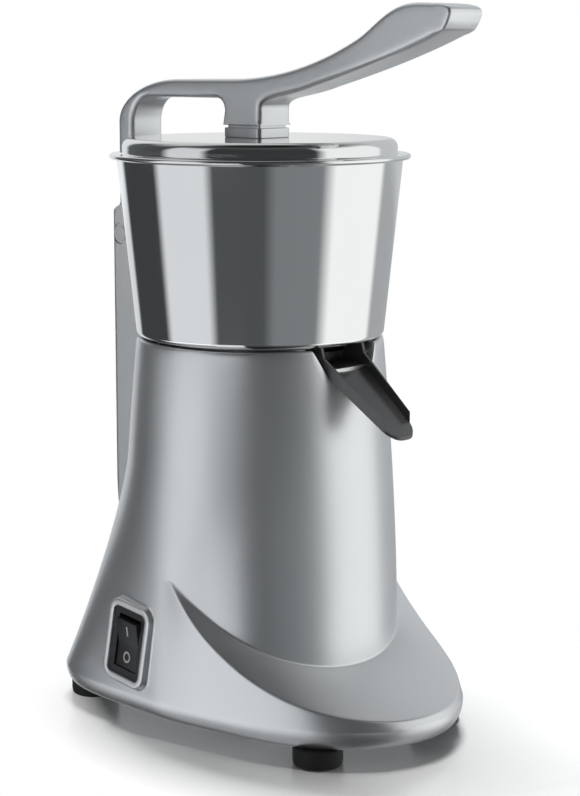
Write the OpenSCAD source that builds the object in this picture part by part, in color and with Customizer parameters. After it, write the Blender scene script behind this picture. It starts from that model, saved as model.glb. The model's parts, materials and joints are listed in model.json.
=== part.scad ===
// Lever-type electric citrus juicer, millimetres, +Z up, front towards -Y.
// The bowl, reamer and motor share one upright spin axis.

/* [Base and tower] */
// Height of the rubber feet
foot_h = 12; // [8:0.5:18]
// Radius of a rubber foot
foot_r = 16; // [13:0.5:18]
// Distance of the front feet from the base's sides
front_foot_side = 42.5; // [40:0.5:50]
// Distance of the front feet from the toe's front
front_foot_back = 48.5; // [45:0.5:56]
// Distance of the rear feet from the base's sides
rear_foot_side = 33.5; // [28:0.5:40]
// Distance of the rear feet from the base's rear
rear_foot_in = 23; // [22:0.5:34]
// Height of the cast body above its feet
body_h = 241.5; // [228:0.5:262]
// Half the width of the base
base_half_w = 99.5; // [96:0.5:106]
// Reach of the base behind the spin axis
rear_reach = 119; // [114:0.5:126]
// How far the toe stands out in front of the base's half width
toe_reach = 57; // [48:1:70]
// Radius of the tower at its top
tower_top_r = 81.5; // [80.5:0.25:84]
// Radius of the tower at its foot
tower_low_r = 92.8; // [91:0.2:95]
// Wall of the cast body
wall = 4; // [3:0.25:5]
// Height of the toe's front edge above the feet
toe_edge_h = 17; // [14:1:22]
// Height of the toe's root on the tower above the feet
toe_root_h = 37; // [32:1:44]
// Height above the feet where the side ledge runs out
ledge_h = 92; // [86:1:100]
// Height above the feet where the flare leaves the tower
flare_h = 163; // [152:1:172]
// Thickness of the bottom plate
plate_t = 3; // [2:0.25:4]

/* [Bowl and lid] */
// Height of the bowl
bowl_h = 116.5; // [108:0.5:124]
// Radius of the bowl's floor outside
bowl_low_r = 81.5; // [79:0.25:83]
// Radius of the bowl's rim outside
bowl_top_r = 93; // [90:0.25:94.5]
// Thickness of the bowl's sheet steel
bowl_t = 1.2; // [0.8:0.1:2]
// Radius of the bowl's rolled rim bead
bead_r = 1; // [0.8:0.1:1.3]
// Gap between tower top and bowl floor
bowl_gap = 1; // [0.6:0.1:2.4]
// Radius of the lid's flange
flange_r = 98; // [96:0.25:101]
// Radius of the lid's raised step
step_r = 89.5; // [86:0.25:90.5]
// Height of the lid's raised step
step_h = 10; // [8.5:0.5:13]
// Thickness of the lid's sheet steel
lid_t = 1.4; // [1:0.1:2]
// Height of the cast neck on the lid
neck_h = 8; // [6:0.5:11]

/* [Lever and column] */
// Width of the lever's bar, leg and boss
lever_w = 29; // [26:0.5:30]
// Width of the handle
handle_w = 31; // [28:0.5:38]
// Height of the bar above the lid's top
bar_lift = 25; // [22:0.5:29]
// Thickness of the bar
bar_t = 12; // [10:0.5:15]
// Thickness of the lever's rear leg
leg_t = 15; // [13:0.5:17]
// Place of the pivot behind the spin axis
pivot_y = 117; // [115:0.5:122]
// Depth of the pivot below the bowl's rim
pivot_drop = 57; // [51:0.5:65]
// Radius of the pivot pin
pin_r = 5; // [4:0.25:6]
// Width of the rear column
column_w = 40; // [39:0.5:44]
// Metal above the pivot at the column's top
column_top = 20; // [17:0.5:24]
// Metal behind the pivot at the column's back
column_back = 9.5; // [9.5:0.5:12]
// Height of the column's foot above the rubber feet
column_low_h = 103; // [98:1:110]
// Rise of the handle's highest point above the bar
handle_rise = 46; // [36:1:56]
// Reach of the handle's tip in front of the spin axis
handle_reach = 170; // [160:1:182]

/* [Spout] */
// Width of the chute at its root
spout_w = 40; // [34:0.5:44]
// Width of the chute at its lip
lip_w = 27; // [22:0.5:32]
// Wall of the chute
spout_t = 2.2; // [1.8:0.1:3]
// Reach of the chute's lip in front of the spin axis
spout_reach = 128; // [120:1:136]
// Drop of the chute's lip below the tower's top
spout_drop = 53; // [48:1:60]
// Upright height of the chute's side walls
spout_depth = 9; // [7:0.5:12]

/* [Switch] */
// Width of the switch opening
switch_w = 30; // [27:0.5:32]
// Height of the switch opening
switch_h = 45; // [42:0.5:48]
// Width of the raised frame round the switch
switch_rim = 5; // [4:0.5:6]
// How far the raised frame stands out
switch_proud = 4.5; // [3.5:0.25:5.5]
// Place of the switch behind the spin axis
switch_y = 22.5; // [20:0.5:26]
// Height of the switch above the feet
switch_z_h = 46; // [44:0.5:50]
// Turn of the switch in the side wall
switch_roll = 6; // [3:0.5:10]
// Lean of the switch with the side wall
switch_lean = 5; // [3:0.5:6]
// Tilt of the rocker to either side
rocker_tilt = 8; // [5:0.5:9]

/* [Motor and drive] */
// Radius of the motor's laminations
stator_r = 56; // [50:0.5:57]
// Length of the motor's laminations
stator_l = 60; // [50:1:66]
// Radius of the rotor
rotor_r = 32; // [28:0.5:34]
// Air gap between rotor and stator
air_gap = 0.5; // [0.4:0.05:0.8]
// Radius of the motor shaft
shaft_r = 8; // [7:0.25:9]
// Outer radius of the ball bearings
bearing_r = 17; // [15.5:0.25:18.5]
// Width of the ball bearings
bearing_w = 10; // [9:0.5:11]
// Radius of the cooling fan
fan_r = 48; // [40:1:54]
// Height of the cooling fan
fan_h = 16; // [12:1:18]

/* [Reamer, strainer and cup] */
// Radius of the reamer's foot
reamer_r = 37; // [33:0.5:39]
// Height of the reamer
reamer_h = 58; // [52:1:60]
// Number of reamer ribs
reamer_ribs = 10; // [8:2:14]
// Height of the reamer's foot above the bowl's floor
reamer_lift = 42; // [40:0.5:46]
// Radius of the strainer basket
strainer_r = 66; // [60:0.5:68]
// Height of the strainer basket
strainer_h = 52; // [44:1:58]
// Inner radius of the pressing cup
cup_r = 44; // [42:0.5:47]
// Wall of the pressing cup
cup_t = 3; // [2:0.25:4]

/* [Fasteners and fits] */
// Radius of the body's screws
screw_r = 2.5; // [2:0.1:3]
// Radius of the column's bolts
bolt_r = 3; // [2.5:0.1:3.5]
// Gap between seated pieces that are lifted off
seat_gap = 0.3; // [0.2:0.05:0.5]
// Gap between pieces that pass each other
pass_gap = 0.4; // [0.3:0.05:0.6]
// Radial clearance of turning shafts and pins
run_gap = 0.05; // [0.02:0.01:0.09]

/* [Hidden] */
$fn = 96;

// Finishes
cast_paint = [0.68, 0.70, 0.71];
steel = [0.80, 0.81, 0.82];
bright = [0.62, 0.63, 0.65];
black = [0.08, 0.08, 0.09];
smoke = [0.16, 0.16, 0.17];
copper = [0.72, 0.42, 0.22];
bronze = [0.70, 0.55, 0.30];
white = [0.90, 0.90, 0.88];

// Heights, from the table upwards
tower_top = foot_h + body_h;
toe_edge_z = foot_h + toe_edge_h;
toe_root_z = foot_h + toe_root_h;
ledge_z = foot_h + ledge_h;
flare_z = foot_h + flare_h;
plate_top = foot_h + plate_t;
bowl_z = tower_top + bowl_gap;
bowl_floor = bowl_z + bowl_t;
bowl_top = bowl_z + bowl_h;
flange_z = bowl_top + pass_gap;
flange_top = flange_z + lid_t;
lid_top = flange_top + step_h;
neck_top = lid_top + neck_h;
bar_z = lid_top + bar_lift;
bar_top = bar_z + bar_t;
pivot_z = bowl_top - pivot_drop;
column_z = pivot_z + column_top;
column_low_z = foot_h + column_low_h;

// Eye of the lever's leg and the bush in it
bush_r = pin_r + 2;
eye_r = bush_r + 2.5;

// The frame's origin is under the middle of the part
rear_most = max(rear_reach, pivot_y + max(eye_r, column_back));
front_most = max(handle_reach, base_half_w + toe_reach);
frame_y = (front_most - rear_most) / 2;

// Shape of the cast body
ledge_angle = 82;
edge_round = 7;
skirt_low_z = foot_h + 13;
straight_z = foot_h + 48;
wall_share = 0.95;
tower_curve = 1.6;
flare_curve = 1.5;
toe_curve = 3.3;
crest_curve = 2.2;
crease_curve = 2.1;
rear_square = 4.7;
blend_low = 65;
blend_high = 86;
ledge_sweep = 1.05;
skin_n = 72;
hollow_n = 48;
cut = 1;

// Feet and the posts in the base that take their screws
front_foot_x = base_half_w - front_foot_side;
front_foot_y = base_half_w + toe_reach - front_foot_back;
rear_foot_x = base_half_w - rear_foot_side;
rear_foot_y = rear_reach - rear_foot_in;
post_r = 7;
post_bite = 13;
foot_sink = 5;
foot_head_r = 5.4;
foot_head_h = 3;
foot_bore_r = 6;

// Deck under the bowl and the ledge that carries it
deck_t = 6;
deck_sink = 7;
deck_z = tower_top - deck_sink - deck_t;
deck_top = deck_z + deck_t;
deck_r = tower_top_r - wall - pass_gap;
deck_hub_r = 24;
deck_hub_h = 6;
deck_head_r = screw_r * 1.8;
deck_head_h = 3;
deck_screw_at = deck_r - deck_head_r - 0.3;
deck_bite = 8;
ledge_in = deck_screw_at - deck_head_r;
ledge_t = 6;
seat_ring_t = 3;
screw_turns = [45, 135, 225, 315];

// Pad at the tower's back that carries the column
pad_y = 94;
pad_in = 66;
pad_top = tower_top - 5;
pad_gap = 1;
column_front = pad_y;
column_clear_y = bowl_top_r + bead_r + 2;
slot_w = lever_w + 2 * pass_gap;
slot_z = pivot_z - eye_r - 1.5;
column_bolt_z = [pad_top - 86, pad_top - 16];
column_bolt_x = 11;
column_round = 5;
column_taper = 4;
column_seat_z = pad_top - 100;
column_end_round = 12;
column_top_round = 7;
bolt_head_r = bolt_r * 1.7;
bolt_head_h = bolt_r * 1.6;
bolt_bite = 14;

// Motor, from the deck downwards
spacer_l = 30;
shield_t = 9;
shield_r = stator_r + 8;
shield_skirt = 14;
motor_bolt_r = 2.5;
motor_bolt_at = stator_r + 4;
motor_head_r = 4.4;
motor_head_h = 4;
spacer_r = 5;
bearing_lip = 2;
seat_ring_r = motor_bolt_at + motor_bolt_r + 0.7;
upper_shield_top = deck_z - spacer_l;
upper_shield_z = upper_shield_top - shield_t;
stator_top = upper_shield_z - shield_skirt;
stator_z = stator_top - stator_l;
lower_shield_top = stator_z - shield_skirt;
lower_shield_z = lower_shield_top - shield_t;
winding_in = rotor_r + 3;
winding_out = stator_r - 5;
winding_h = 11;
fan_top = lower_shield_z - motor_head_h;
fan_z = fan_top - fan_h;
shaft_low = fan_z - 3;
shaft_step_z = deck_top + 4;
collar_r = shaft_r + 2.5;
fan_hub_r = 14;
fan_blades = 9;
fan_blade_t = 2.5;
fan_disc_t = 2;

// Drive to the reamer
bowl_round = 4;
chimney_r = 15;
chimney_top = bowl_floor + 28;
reamer_z = bowl_floor + reamer_lift;
reamer_top = reamer_z + reamer_h;
spindle_r = shaft_r - 1.5;
spindle_top = reamer_z + 34;
drive_pin_r = 2;
drive_pin_l = 2 * spindle_r + 12;
drive_pin_z = reamer_z + 5;
rib_t = 3;
seal_r = 15;

// Strainer
strainer_t = 1;
strainer_leg = 14;
strainer_z = bowl_floor + strainer_leg;
strainer_in = chimney_r + 3;
strainer_foot_r = strainer_r - 8;
strainer_gates = [30, 150, 270];
strainer_gate_w = 30;
strainer_gate_h = 7;
strainer_slope = 4;
strainer_hole_r = 2;
strainer_rows = [28, 36, 44, 52];

// Pressing cup
fruit_gap = 8;
cup_mid_z = reamer_top + fruit_gap - cup_r;
cup_top_z = cup_mid_z + cup_r;
cup_stem_r = 10;
lid_bolt_r = 4;
lid_bolt_head_r = 7;
lid_bolt_head_h = 4;
lid_bolt_bite = 14;
lid_round = 6;
lid_edge = 1.6;
neck_round = 3;

// Lever outline
boss_front = -14;
boss_back = 19.7;
leg_back = pivot_y + leg_t / 2;
leg_front = pivot_y - leg_t / 2;
bush_bore_r = pin_r + run_gap;
lever_top_z = bar_top + handle_rise;
tip_z = lever_top_z - 6.3;
tip_under = [8.5 - handle_reach, lever_top_z - 15.8];
tip_round = 4;
neck_in = 8;
elbow_in = 17;
elbow_drop = 30;
elbow_reach = 42;
handle_root = [10, bar_top + 0.5];
handle_mid = [-94, mix(bar_top, lever_top_z, 0.53)];
handle_crest = [28 - handle_reach, lever_top_z];
handle_under = [-60, bar_z + 8.5];
handle_start = -24;
handle_full = -112;
ring_t = 1.2;
ring_r = pin_r + 2;
ring_sink = 2;
pin_l = column_w - 1;

// Spout
deck_notch_w = spout_w + 4;
notch_w = spout_w + 18;
notch_low_w = spout_w - 12;
notch_round = 9;
chute_start = 58;
chute_knee = 76;
spout_low_z = tower_top - spout_drop;
chute_start_z = tower_top - 13;
chute_knee_z = tower_top - 15;
notch_z = chute_knee_z - 9;
notch_back = chute_start - 4;
lip_round = 11;
lip_out = 20;
outlet_w = spout_w - 2 * spout_t - 4;

// Switch
switch_x = base_half_w - 2.2;
switch_z = foot_h + switch_z_h;
switch_round = 4;
switch_depth = 24;
switch_face = switch_proud - 2;
switch_boss = 9;
frame_w = switch_w + 2 * switch_rim;
frame_h = switch_h + 2 * switch_rim;
well_depth = 16;
rocker_w = switch_w - 10;
rocker_h = switch_h - 12;
rocker_pivot = -4;
rocker_side_gap = 0.4;
rocker_swing_gap = 1.2;
well_w = rocker_w + 2 * rocker_side_gap;
well_h = rocker_h + 2 * rocker_swing_gap;
rocker_axle_r = 1.8;
rocker_axle_l = rocker_w + 5;
rocker_rise = switch_face + 1.5 - rocker_pivot;
rocker_dish = 2.2;
rocker_under = 3;

// Electrical pieces on the bottom plate
capacitor_r = 17;
capacitor_l = 58;
capacitor_x = 44;
capacitor_y = -6;
clip_t = 2;
terminal_x = -30;
terminal_y = 66;
terminal_size = [42, 18, 20];
gland_seat_y = rear_reach - 0.5;
gland_z = foot_h + 24;
gland_r = 8;
gland_flange_r = 11;
gland_bore_r = 4;
gland_flange_t = 4;
gland_l = 16;
gland_boss_l = 14;
clip_l = 16;
vent_w = 4;
vent_l = 48;
vent_step = 9;

// Curve helpers
function share(v) = min(1, max(0, v));
function ease(v) = share(v) * share(v) * (3 - 2 * share(v));
function mix(a, b, t) = a + (b - a) * t;
function bend(p0, p1, p2, p3, n) = [
    for (i = [1:n])
        let (t = i / n, s = 1 - t)
            s * s * s * p0 + 3 * s * s * t * p1 + 3 * s * t * t * p2 + t * t * t * p3
];
function arc(c, r, a0, a1, n) = [
    for (i = [0:n])
        let (a = mix(a0, a1, i / n))
            c + r * [cos(a), sin(a)]
];
function rounded(w, h, r) = concat(
    arc([w / 2 - r, h / 2 - r], r, 0, 90, 6), arc([-w / 2 + r, h / 2 - r], r, 90, 180, 6),
    arc([-w / 2 + r, -h / 2 + r], r, 180, 270, 6), arc([w / 2 - r, -h / 2 + r], r, 270, 360, 6)
);

// Radius of the round tower at a height
function tower_r(z) = tower_low_r
    - (tower_low_r - tower_top_r) * pow(share((z - straight_z) / (tower_top - straight_z)), tower_curve);

// Outline of the base, by angle from the front
function base_r(a) = cos(a) > 0
    ? base_half_w + toe_reach * pow(cos(a), toe_curve)
    : pow(
        pow(abs(sin(a)) / base_half_w, rear_square) + pow(abs(cos(a)) / rear_reach, rear_square),
        -1 / rear_square
    );

// Angle from the front, the same on both sides
function turn(a) = a > 180 ? 360 - a : a;
function toe_part(g) = 1 - ease((g - blend_low) / (blend_high - blend_low));
function crest_z(g) = toe_edge_z + (ledge_z - toe_edge_z) * pow(share(g / ledge_angle), crest_curve);
function crease_z(g) = toe_root_z
    + (ledge_z + 2 - toe_root_z) * pow(share(g / ledge_angle), crease_curve);
function flare(z) = pow(share((flare_z - z) / (flare_z - skirt_low_z)), flare_curve);

// One point of the body's skin: angle, height, spread from tower to base, inset
function skin(a, z, spread, inset) =
    let (r = mix(tower_r(z), base_r(a), spread) - inset)
        [r * sin(a), -r * cos(a), z];

function upper_ring(t, inset, n) = [
    for (i = [0:n - 1])
        let (a = 360 * i / n, g = turn(a), z = mix(tower_top, crease_z(g) - inset, t))
            skin(a, z, flare(z) * (1 - toe_part(g)), inset)
];
function ledge_ring(t, inset, n) = [
    for (i = [0:n - 1])
        let (a = 360 * i / n, g = turn(a), z = mix(crease_z(g), crest_z(g), t) - inset)
            skin(a, z, mix(flare(z), wall_share * pow(t, ledge_sweep), toe_part(g)), inset)
];
function skirt_ring(t, inset, n) = [
    for (i = [0:n - 1])
        let (a = 360 * i / n, g = turn(a), z = mix(crest_z(g) - inset, skirt_low_z - inset, t))
            skin(a, z, mix(flare(z), mix(wall_share, 1, t), toe_part(g)), inset)
];
function edge_ring(t, inset, n, low) = [
    for (i = [0:n - 1])
        let (a = 360 * i / n, z = mix(skirt_low_z - inset, low, t))
            skin(a, z, 1, inset + edge_round * (1 - sqrt(1 - 0.98 * t * t)))
];
// Height of the toe's roof, and of the rear flare, at a place in plan
function toe_roof(r, g) =
    let (t = pow(share((r - tower_low_r) / (wall_share * (base_r(g) - tower_low_r))), 1 / ledge_sweep))
        mix(crease_z(g), crest_z(g), t);
function flare_roof(r, g) =
    mix(flare_z, skirt_low_z, pow(share((r - tower_low_r) / (base_r(g) - tower_low_r)), 1 / flare_curve));
function rear_skin(z) = mix(tower_r(z), rear_reach, flare(z));
function plan_r(x, y) = sqrt(x * x + y * y);
front_post_r = plan_r(front_foot_x, front_foot_y) + post_r;
front_post_top = toe_roof(front_post_r, atan2(front_foot_x, front_foot_y)) - cut;
rear_post_r = plan_r(rear_foot_x, rear_foot_y) + post_r;
rear_post_top = flare_roof(rear_post_r, atan2(rear_foot_x, -rear_foot_y)) - cut;
function lift(ring, z) = [for (p = ring) [p[0], p[1], z]];

// A closed skin through rings from top to bottom
module skin_solid(rings) {
    n = len(rings[0]);
    m = len(rings);
    points = [for (ring = rings) each ring];
    sides = [
        for (k = [0:m - 2])
            for (i = [0:n - 1])
                let (p = k * n + i, q = k * n + (i + 1) % n)
                    each [[p, q, q + n], [p, q + n, p + n]]
    ];
    top = [for (i = [n - 1:-1:0]) i];
    bottom = [for (i = [0:n - 1]) (m - 1) * n + i];
    polyhedron(points, concat(sides, [top, bottom]), convexity = 8);
}

module body_skin(n) {
    skin_solid(concat(
        [for (k = [0:10]) upper_ring(k / 10, 0, n)],
        [for (k = [1:4]) ledge_ring(k / 4, 0, n)],
        [for (k = [1:4]) skirt_ring(k / 4, 0, n)],
        [for (k = [1:3]) edge_ring(k / 3, 0, n, foot_h)]
    ));
}

module body_hollow(n) {
    skin_solid(concat(
        [lift(upper_ring(0, wall, n), tower_top + cut)],
        [for (k = [0:5]) upper_ring(k / 5, wall, n)],
        [for (k = [1:2]) ledge_ring(k / 2, wall, n)],
        [for (k = [1:2]) skirt_ring(k / 2, wall, n)],
        [lift(skirt_ring(1, wall + edge_round, n), plate_top)],
        [lift(skirt_ring(1, wall + edge_round, n), foot_h - cut)]
    ));
}

// Places
module placed() {
    translate([0, frame_y, 0]) children();
}
module at_front_feet() {
    for (side = [-1, 1]) translate([side * front_foot_x, -front_foot_y, 0]) children();
}
module at_rear_feet() {
    for (side = [-1, 1]) translate([side * rear_foot_x, rear_foot_y, 0]) children();
}
module at_feet() {
    at_front_feet() children();
    at_rear_feet() children();
}
module around(r) {
    for (a = screw_turns) rotate(a) translate([r, 0, 0]) children();
}
module at_switch() {
    translate([-switch_x, switch_y, switch_z])
        rotate([90, 0, -90]) rotate([-switch_lean, 0, 0]) rotate([0, 0, -switch_roll]) children();
}
module at_column_bolts() {
    for (side = [-1, 1])
        for (z = column_bolt_z)
            translate([side * column_bolt_x, pad_in, z]) rotate([-90, 0, 0]) children();
}
module along_x(w) {
    translate([-w / 2, 0, 0]) rotate([90, 0, 90]) linear_extrude(w) children();
}

// Simple shapes
module ring(r_in, r_out, h) {
    difference() {
        cylinder(r = r_out, h = h);
        cylinder_between(r_in, -cut, h + cut);
    }
}
module cylinder_between(r, low, high) {
    translate([0, 0, low]) cylinder(r = r, h = high - low);
}
module screw(r, l, head_r, head_h) {
    cylinder(r = head_r, h = head_h);
    cylinder(r = r, h = head_h + l);
}
module plate_outline(inset) {
    polygon([
        for (i = [0:hollow_n - 1])
            let (a = 360 * i / hollow_n, r = base_r(a) - inset)
                [r * sin(a), -r * cos(a)]
    ]);
}

// Cast body with its pad, posts, ledge and openings
module body_housing() {
    color(cast_paint) placed() difference() {
        union() {
            difference() {
                body_skin(skin_n);
                body_hollow(hollow_n);
            }
            translate([-column_w / 2, pad_in, column_low_z])
                cube([column_w, pad_y - pad_in, pad_top - column_low_z]);
            translate([0, gland_seat_y, gland_z]) rotate([90, 0, 0])
                cylinder(r = gland_flange_r + 2, h = gland_boss_l);
            translate([0, 0, deck_z - ledge_t]) ring(ledge_in, tower_top_r - wall / 2, ledge_t);
            at_front_feet() cylinder_between(post_r, plate_top, front_post_top);
            at_rear_feet() cylinder_between(post_r, plate_top, rear_post_top);
            at_switch() translate([0, 0, -switch_boss]) linear_extrude(switch_boss + switch_proud)
                polygon(rounded(frame_w, frame_h, switch_round + switch_rim));
        }
        at_switch() translate([0, 0, -2 * switch_depth]) linear_extrude(3 * switch_depth)
            polygon(rounded(switch_w, switch_h, switch_round));
        translate([0, -notch_back, 0]) rotate([90, 0, 0]) linear_extrude(tower_low_r) spout_notch();
        at_feet() cylinder_between(screw_r, foot_h, plate_top + post_bite + cut);
        around(deck_screw_at) cylinder_between(screw_r, deck_z - deck_bite - cut, deck_top);
        at_column_bolts() translate([0, 0, -cut]) cylinder(r = bolt_r, h = pad_y - pad_in + 2 * cut);
        translate([0, gland_seat_y + cut, gland_z]) rotate([90, 0, 0])
            cylinder(r = gland_r, h = 2 * gland_l);
    }
}

// Rounded notch in the tower's front that the chute passes through
module spout_notch() {
    lean = (notch_w - notch_low_w) / 2;
    polygon(concat(
        [[notch_w / 2, tower_top + cut]],
        bend([notch_w / 2, tower_top], [notch_w / 2 - lean / 2, mix(tower_top, notch_z, 0.5)],
            [notch_low_w / 2 + notch_round / 2, notch_z], [notch_low_w / 2 - notch_round, notch_z], 8),
        bend([notch_round - notch_low_w / 2, notch_z], [-notch_low_w / 2 - notch_round / 2, notch_z],
            [lean / 2 - notch_w / 2, mix(tower_top, notch_z, 0.5)], [-notch_w / 2, tower_top], 8),
        [[-notch_w / 2, tower_top + cut]]
    ));
}

// Deck that closes the tower and seats the bowl
module top_deck() {
    color(cast_paint) placed() difference() {
        union() {
            translate([0, 0, deck_z]) cylinder(r = deck_r, h = deck_t);
            translate([0, 0, deck_top]) ring(seat_ring_r, seat_ring_r + seat_ring_t, bowl_z - deck_top);
            cylinder_between(deck_hub_r, deck_z - deck_hub_h, deck_z);
        }
        cylinder_between(seal_r, deck_z - deck_hub_h - cut, bowl_z + cut);
        translate([-deck_notch_w / 2, -deck_r - cut, deck_z - cut])
            cube([deck_notch_w, deck_r + cut - notch_back, deck_t + deck_sink + 2 * cut + bowl_gap]);
        around(deck_screw_at) cylinder_between(screw_r, deck_z - cut, deck_top + cut);
        around(motor_bolt_at) cylinder_between(motor_bolt_r, deck_z - cut, deck_top + cut);
        translate([-column_w / 2 - pad_gap, pad_in - pad_gap, deck_z - cut])
            cube([column_w + 2 * pad_gap, deck_r, deck_t + deck_sink + 2 * cut + bowl_gap]);
    }
}

module deck_screws() {
    color(bright) placed() around(deck_screw_at)
        translate([0, 0, deck_top + deck_head_h]) mirror([0, 0, 1])
            screw(screw_r, deck_t + deck_bite, deck_head_r, deck_head_h);
}

// Bottom plate with vent slots
module base_plate() {
    color(bright) placed() difference() {
        translate([0, 0, foot_h]) linear_extrude(plate_t) plate_outline(wall + edge_round + seat_gap);
        at_feet() cylinder_between(screw_r, foot_h - cut, plate_top + cut);
        for (i = [-4:4])
            translate([i * vent_step - vent_w / 2, -vent_l / 2, foot_h - cut])
                cube([vent_w, vent_l, plate_t + 2 * cut]);
    }
}

module base_screws() {
    color(bright) placed() at_feet() translate([0, 0, foot_sink])
        screw(screw_r, plate_top + post_bite - foot_sink - foot_head_h, foot_head_r, foot_head_h);
}

// Four feet with a counterbored hole
module rubber_feet() {
    color(black) placed() at_feet() difference() {
        rotate_extrude() polygon(concat(
            [[0, 0]], arc([foot_r - 3, 1.5], 1.5, -90, 0, 4), [[foot_r, foot_h], [0, foot_h]]
        ));
        cylinder_between(screw_r, -cut, foot_h + cut);
        cylinder_between(foot_bore_r, -cut, foot_sink);
        cylinder_between(foot_head_r, foot_sink, foot_sink + foot_head_h);
    }
}

// Column with a fork for the lever's leg
module rear_column() {
    back = pivot_y + column_back;
    side = concat(
        arc([back - column_taper - column_end_round, column_low_z + column_end_round],
            column_end_round, -90, 0, 8),
        [[back, column_seat_z + column_end_round]],
        arc([back - column_end_round, column_z - column_end_round], column_end_round, 0, 90, 8),
        arc([column_clear_y + column_top_round, column_z - column_top_round],
            column_top_round, 90, 180, 6),
        [[column_clear_y, tower_top], [column_front, pad_top]],
        [
            for (k = [0:8])
                let (z = mix(column_seat_z, column_low_z, k / 8))
                    [max(column_front, rear_skin(z) + pass_gap), z]
        ]
    );
    plan = concat(
        [[-column_w / 2, column_front - cut], [column_w / 2, column_front - cut]],
        arc([column_w / 2 - column_round, back - column_round], column_round, 0, 90, 8),
        arc([-column_w / 2 + column_round, back - column_round], column_round, 90, 180, 8)
    );
    color(cast_paint) placed() difference() {
        intersection() {
            along_x(column_w) polygon(side);
            linear_extrude(column_z) polygon(plan);
        }
        translate([-slot_w / 2, column_front - cut, slot_z])
            cube([slot_w, back - column_front + 2 * cut, column_z - slot_z + cut]);
        translate([0, pivot_y, pivot_z]) rotate([0, 90, 0])
            cylinder(r = pin_r, h = column_w + 2 * cut, center = true);
        for (side = [-1, 1])
            translate([side * column_w / 2, pivot_y, pivot_z]) rotate([0, 90, 0])
                cylinder(r = ring_r + seat_gap, h = 2 * ring_sink, center = true);
        at_column_bolts() cylinder(r = bolt_r, h = pad_y - pad_in + bolt_bite);
    }
}

module column_bolts() {
    color(bright) placed() at_column_bolts() translate([0, 0, -bolt_head_h])
        screw(bolt_r, pad_y - pad_in + bolt_bite, bolt_head_r, bolt_head_h);
}

module pivot_pin() {
    color(bright) placed() translate([0, pivot_y, pivot_z]) rotate([0, 90, 0])
        cylinder(r = pin_r, h = pin_l, center = true);
}

module retaining_rings() {
    color(bright) placed() for (side = [-1, 1])
        translate([side * (column_w / 2 - ring_sink + ring_t / 2), pivot_y, pivot_z]) rotate([0, 90, 0])
            translate([0, 0, -ring_t / 2]) ring(pin_r, ring_r, ring_t);
}

// Switch insert with the well that the rocker swings in
module switch_housing() {
    color(black) placed() at_switch() difference() {
        translate([0, 0, switch_face - switch_depth]) linear_extrude(switch_depth)
            polygon(rounded(switch_w, switch_h, switch_round));
        translate([-well_w / 2, -well_h / 2, switch_face - well_depth])
            cube([well_w, well_h, well_depth + cut]);
        translate([0, 0, rocker_pivot]) rotate([0, 90, 0])
            cylinder(r = rocker_axle_r + run_gap, h = rocker_axle_l + 2 * pass_gap, center = true);
    }
}

module switch_rocker() {
    reach = rocker_h / 2;
    middle = rocker_rise - reach * tan(rocker_tilt);
    color(black) placed() at_switch() translate([0, 0, rocker_pivot]) rotate([rocker_tilt, 0, 0]) {
        along_x(rocker_w) polygon([
            [-reach, middle + rocker_dish], [-reach, -rocker_under], [reach, -rocker_under],
            [reach, middle + rocker_dish], [0, middle]
        ]);
        rotate([0, 90, 0]) cylinder(r = rocker_axle_r, h = rocker_axle_l, center = true);
    }
}

// Inlet of the mains lead
module cable_gland() {
    color(black) placed() translate([0, gland_seat_y, gland_z]) rotate([90, 0, 0]) difference() {
        union() {
            cylinder_between(gland_flange_r, -gland_flange_t, 0);
            cylinder_between(gland_r, 0, gland_l);
        }
        cylinder_between(gland_bore_r, -gland_flange_t - cut, gland_l + cut);
    }
}

module terminal_block() {
    color(white) placed() translate([terminal_x - terminal_size[0] / 2, terminal_y, plate_top])
        difference() {
            cube(terminal_size);
            for (i = [0:3])
                translate([6 + i * 10, terminal_size[1] / 2, 8]) cylinder(r = 2.5, h = 20);
        }
}

module capacitor() {
    color(white) placed() translate([capacitor_x, capacitor_y, plate_top + clip_t + capacitor_r])
        rotate([-90, 0, 0]) {
            cylinder(r = capacitor_r, h = capacitor_l);
            for (side = [-1, 1])
                translate([side * 6 - 2, -1, -5]) cube([4, 2, 6]);
        }
}

module capacitor_clip() {
    color(bright) placed() translate([capacitor_x, capacitor_y + (capacitor_l - clip_l) / 2, plate_top])
        difference() {
            translate([-capacitor_r - clip_t, 0, 0])
                cube([2 * (capacitor_r + clip_t), clip_l, clip_t + capacitor_r]);
            translate([0, -cut, clip_t + capacitor_r]) rotate([-90, 0, 0])
                cylinder(r = capacitor_r, h = clip_l + 2 * cut);
        }
}

// Motor that hangs from the deck
module motor_stator() {
    color(bright) placed() translate([0, 0, stator_z]) ring(rotor_r + air_gap, stator_r, stator_l);
}

module stator_windings() {
    color(copper) placed() {
        translate([0, 0, stator_top]) ring(winding_in, winding_out, winding_h);
        translate([0, 0, stator_z - winding_h]) ring(winding_in, winding_out, winding_h);
    }
}

module shield() {
    difference() {
        union() {
            cylinder(r = shield_r, h = shield_t);
            translate([0, 0, shield_t]) ring(stator_r - 4, stator_r, shield_skirt);
            cylinder(r = bearing_r + 4, h = bearing_w + bearing_lip);
        }
        cylinder_between(bearing_r, bearing_lip, bearing_w + bearing_lip + cut);
        cylinder_between(shaft_r + 2, -cut, bearing_lip + cut);
        around(motor_bolt_at) cylinder_between(motor_bolt_r, -cut, shield_t + cut);
    }
}

module upper_shield() {
    color(bright) placed() translate([0, 0, upper_shield_top]) mirror([0, 0, 1]) shield();
}

module lower_shield() {
    color(bright) placed() translate([0, 0, lower_shield_z]) shield();
}

module motor_spacers() {
    color(bright) placed() translate([0, 0, upper_shield_top]) around(motor_bolt_at)
        ring(motor_bolt_r, spacer_r, spacer_l);
}

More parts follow.
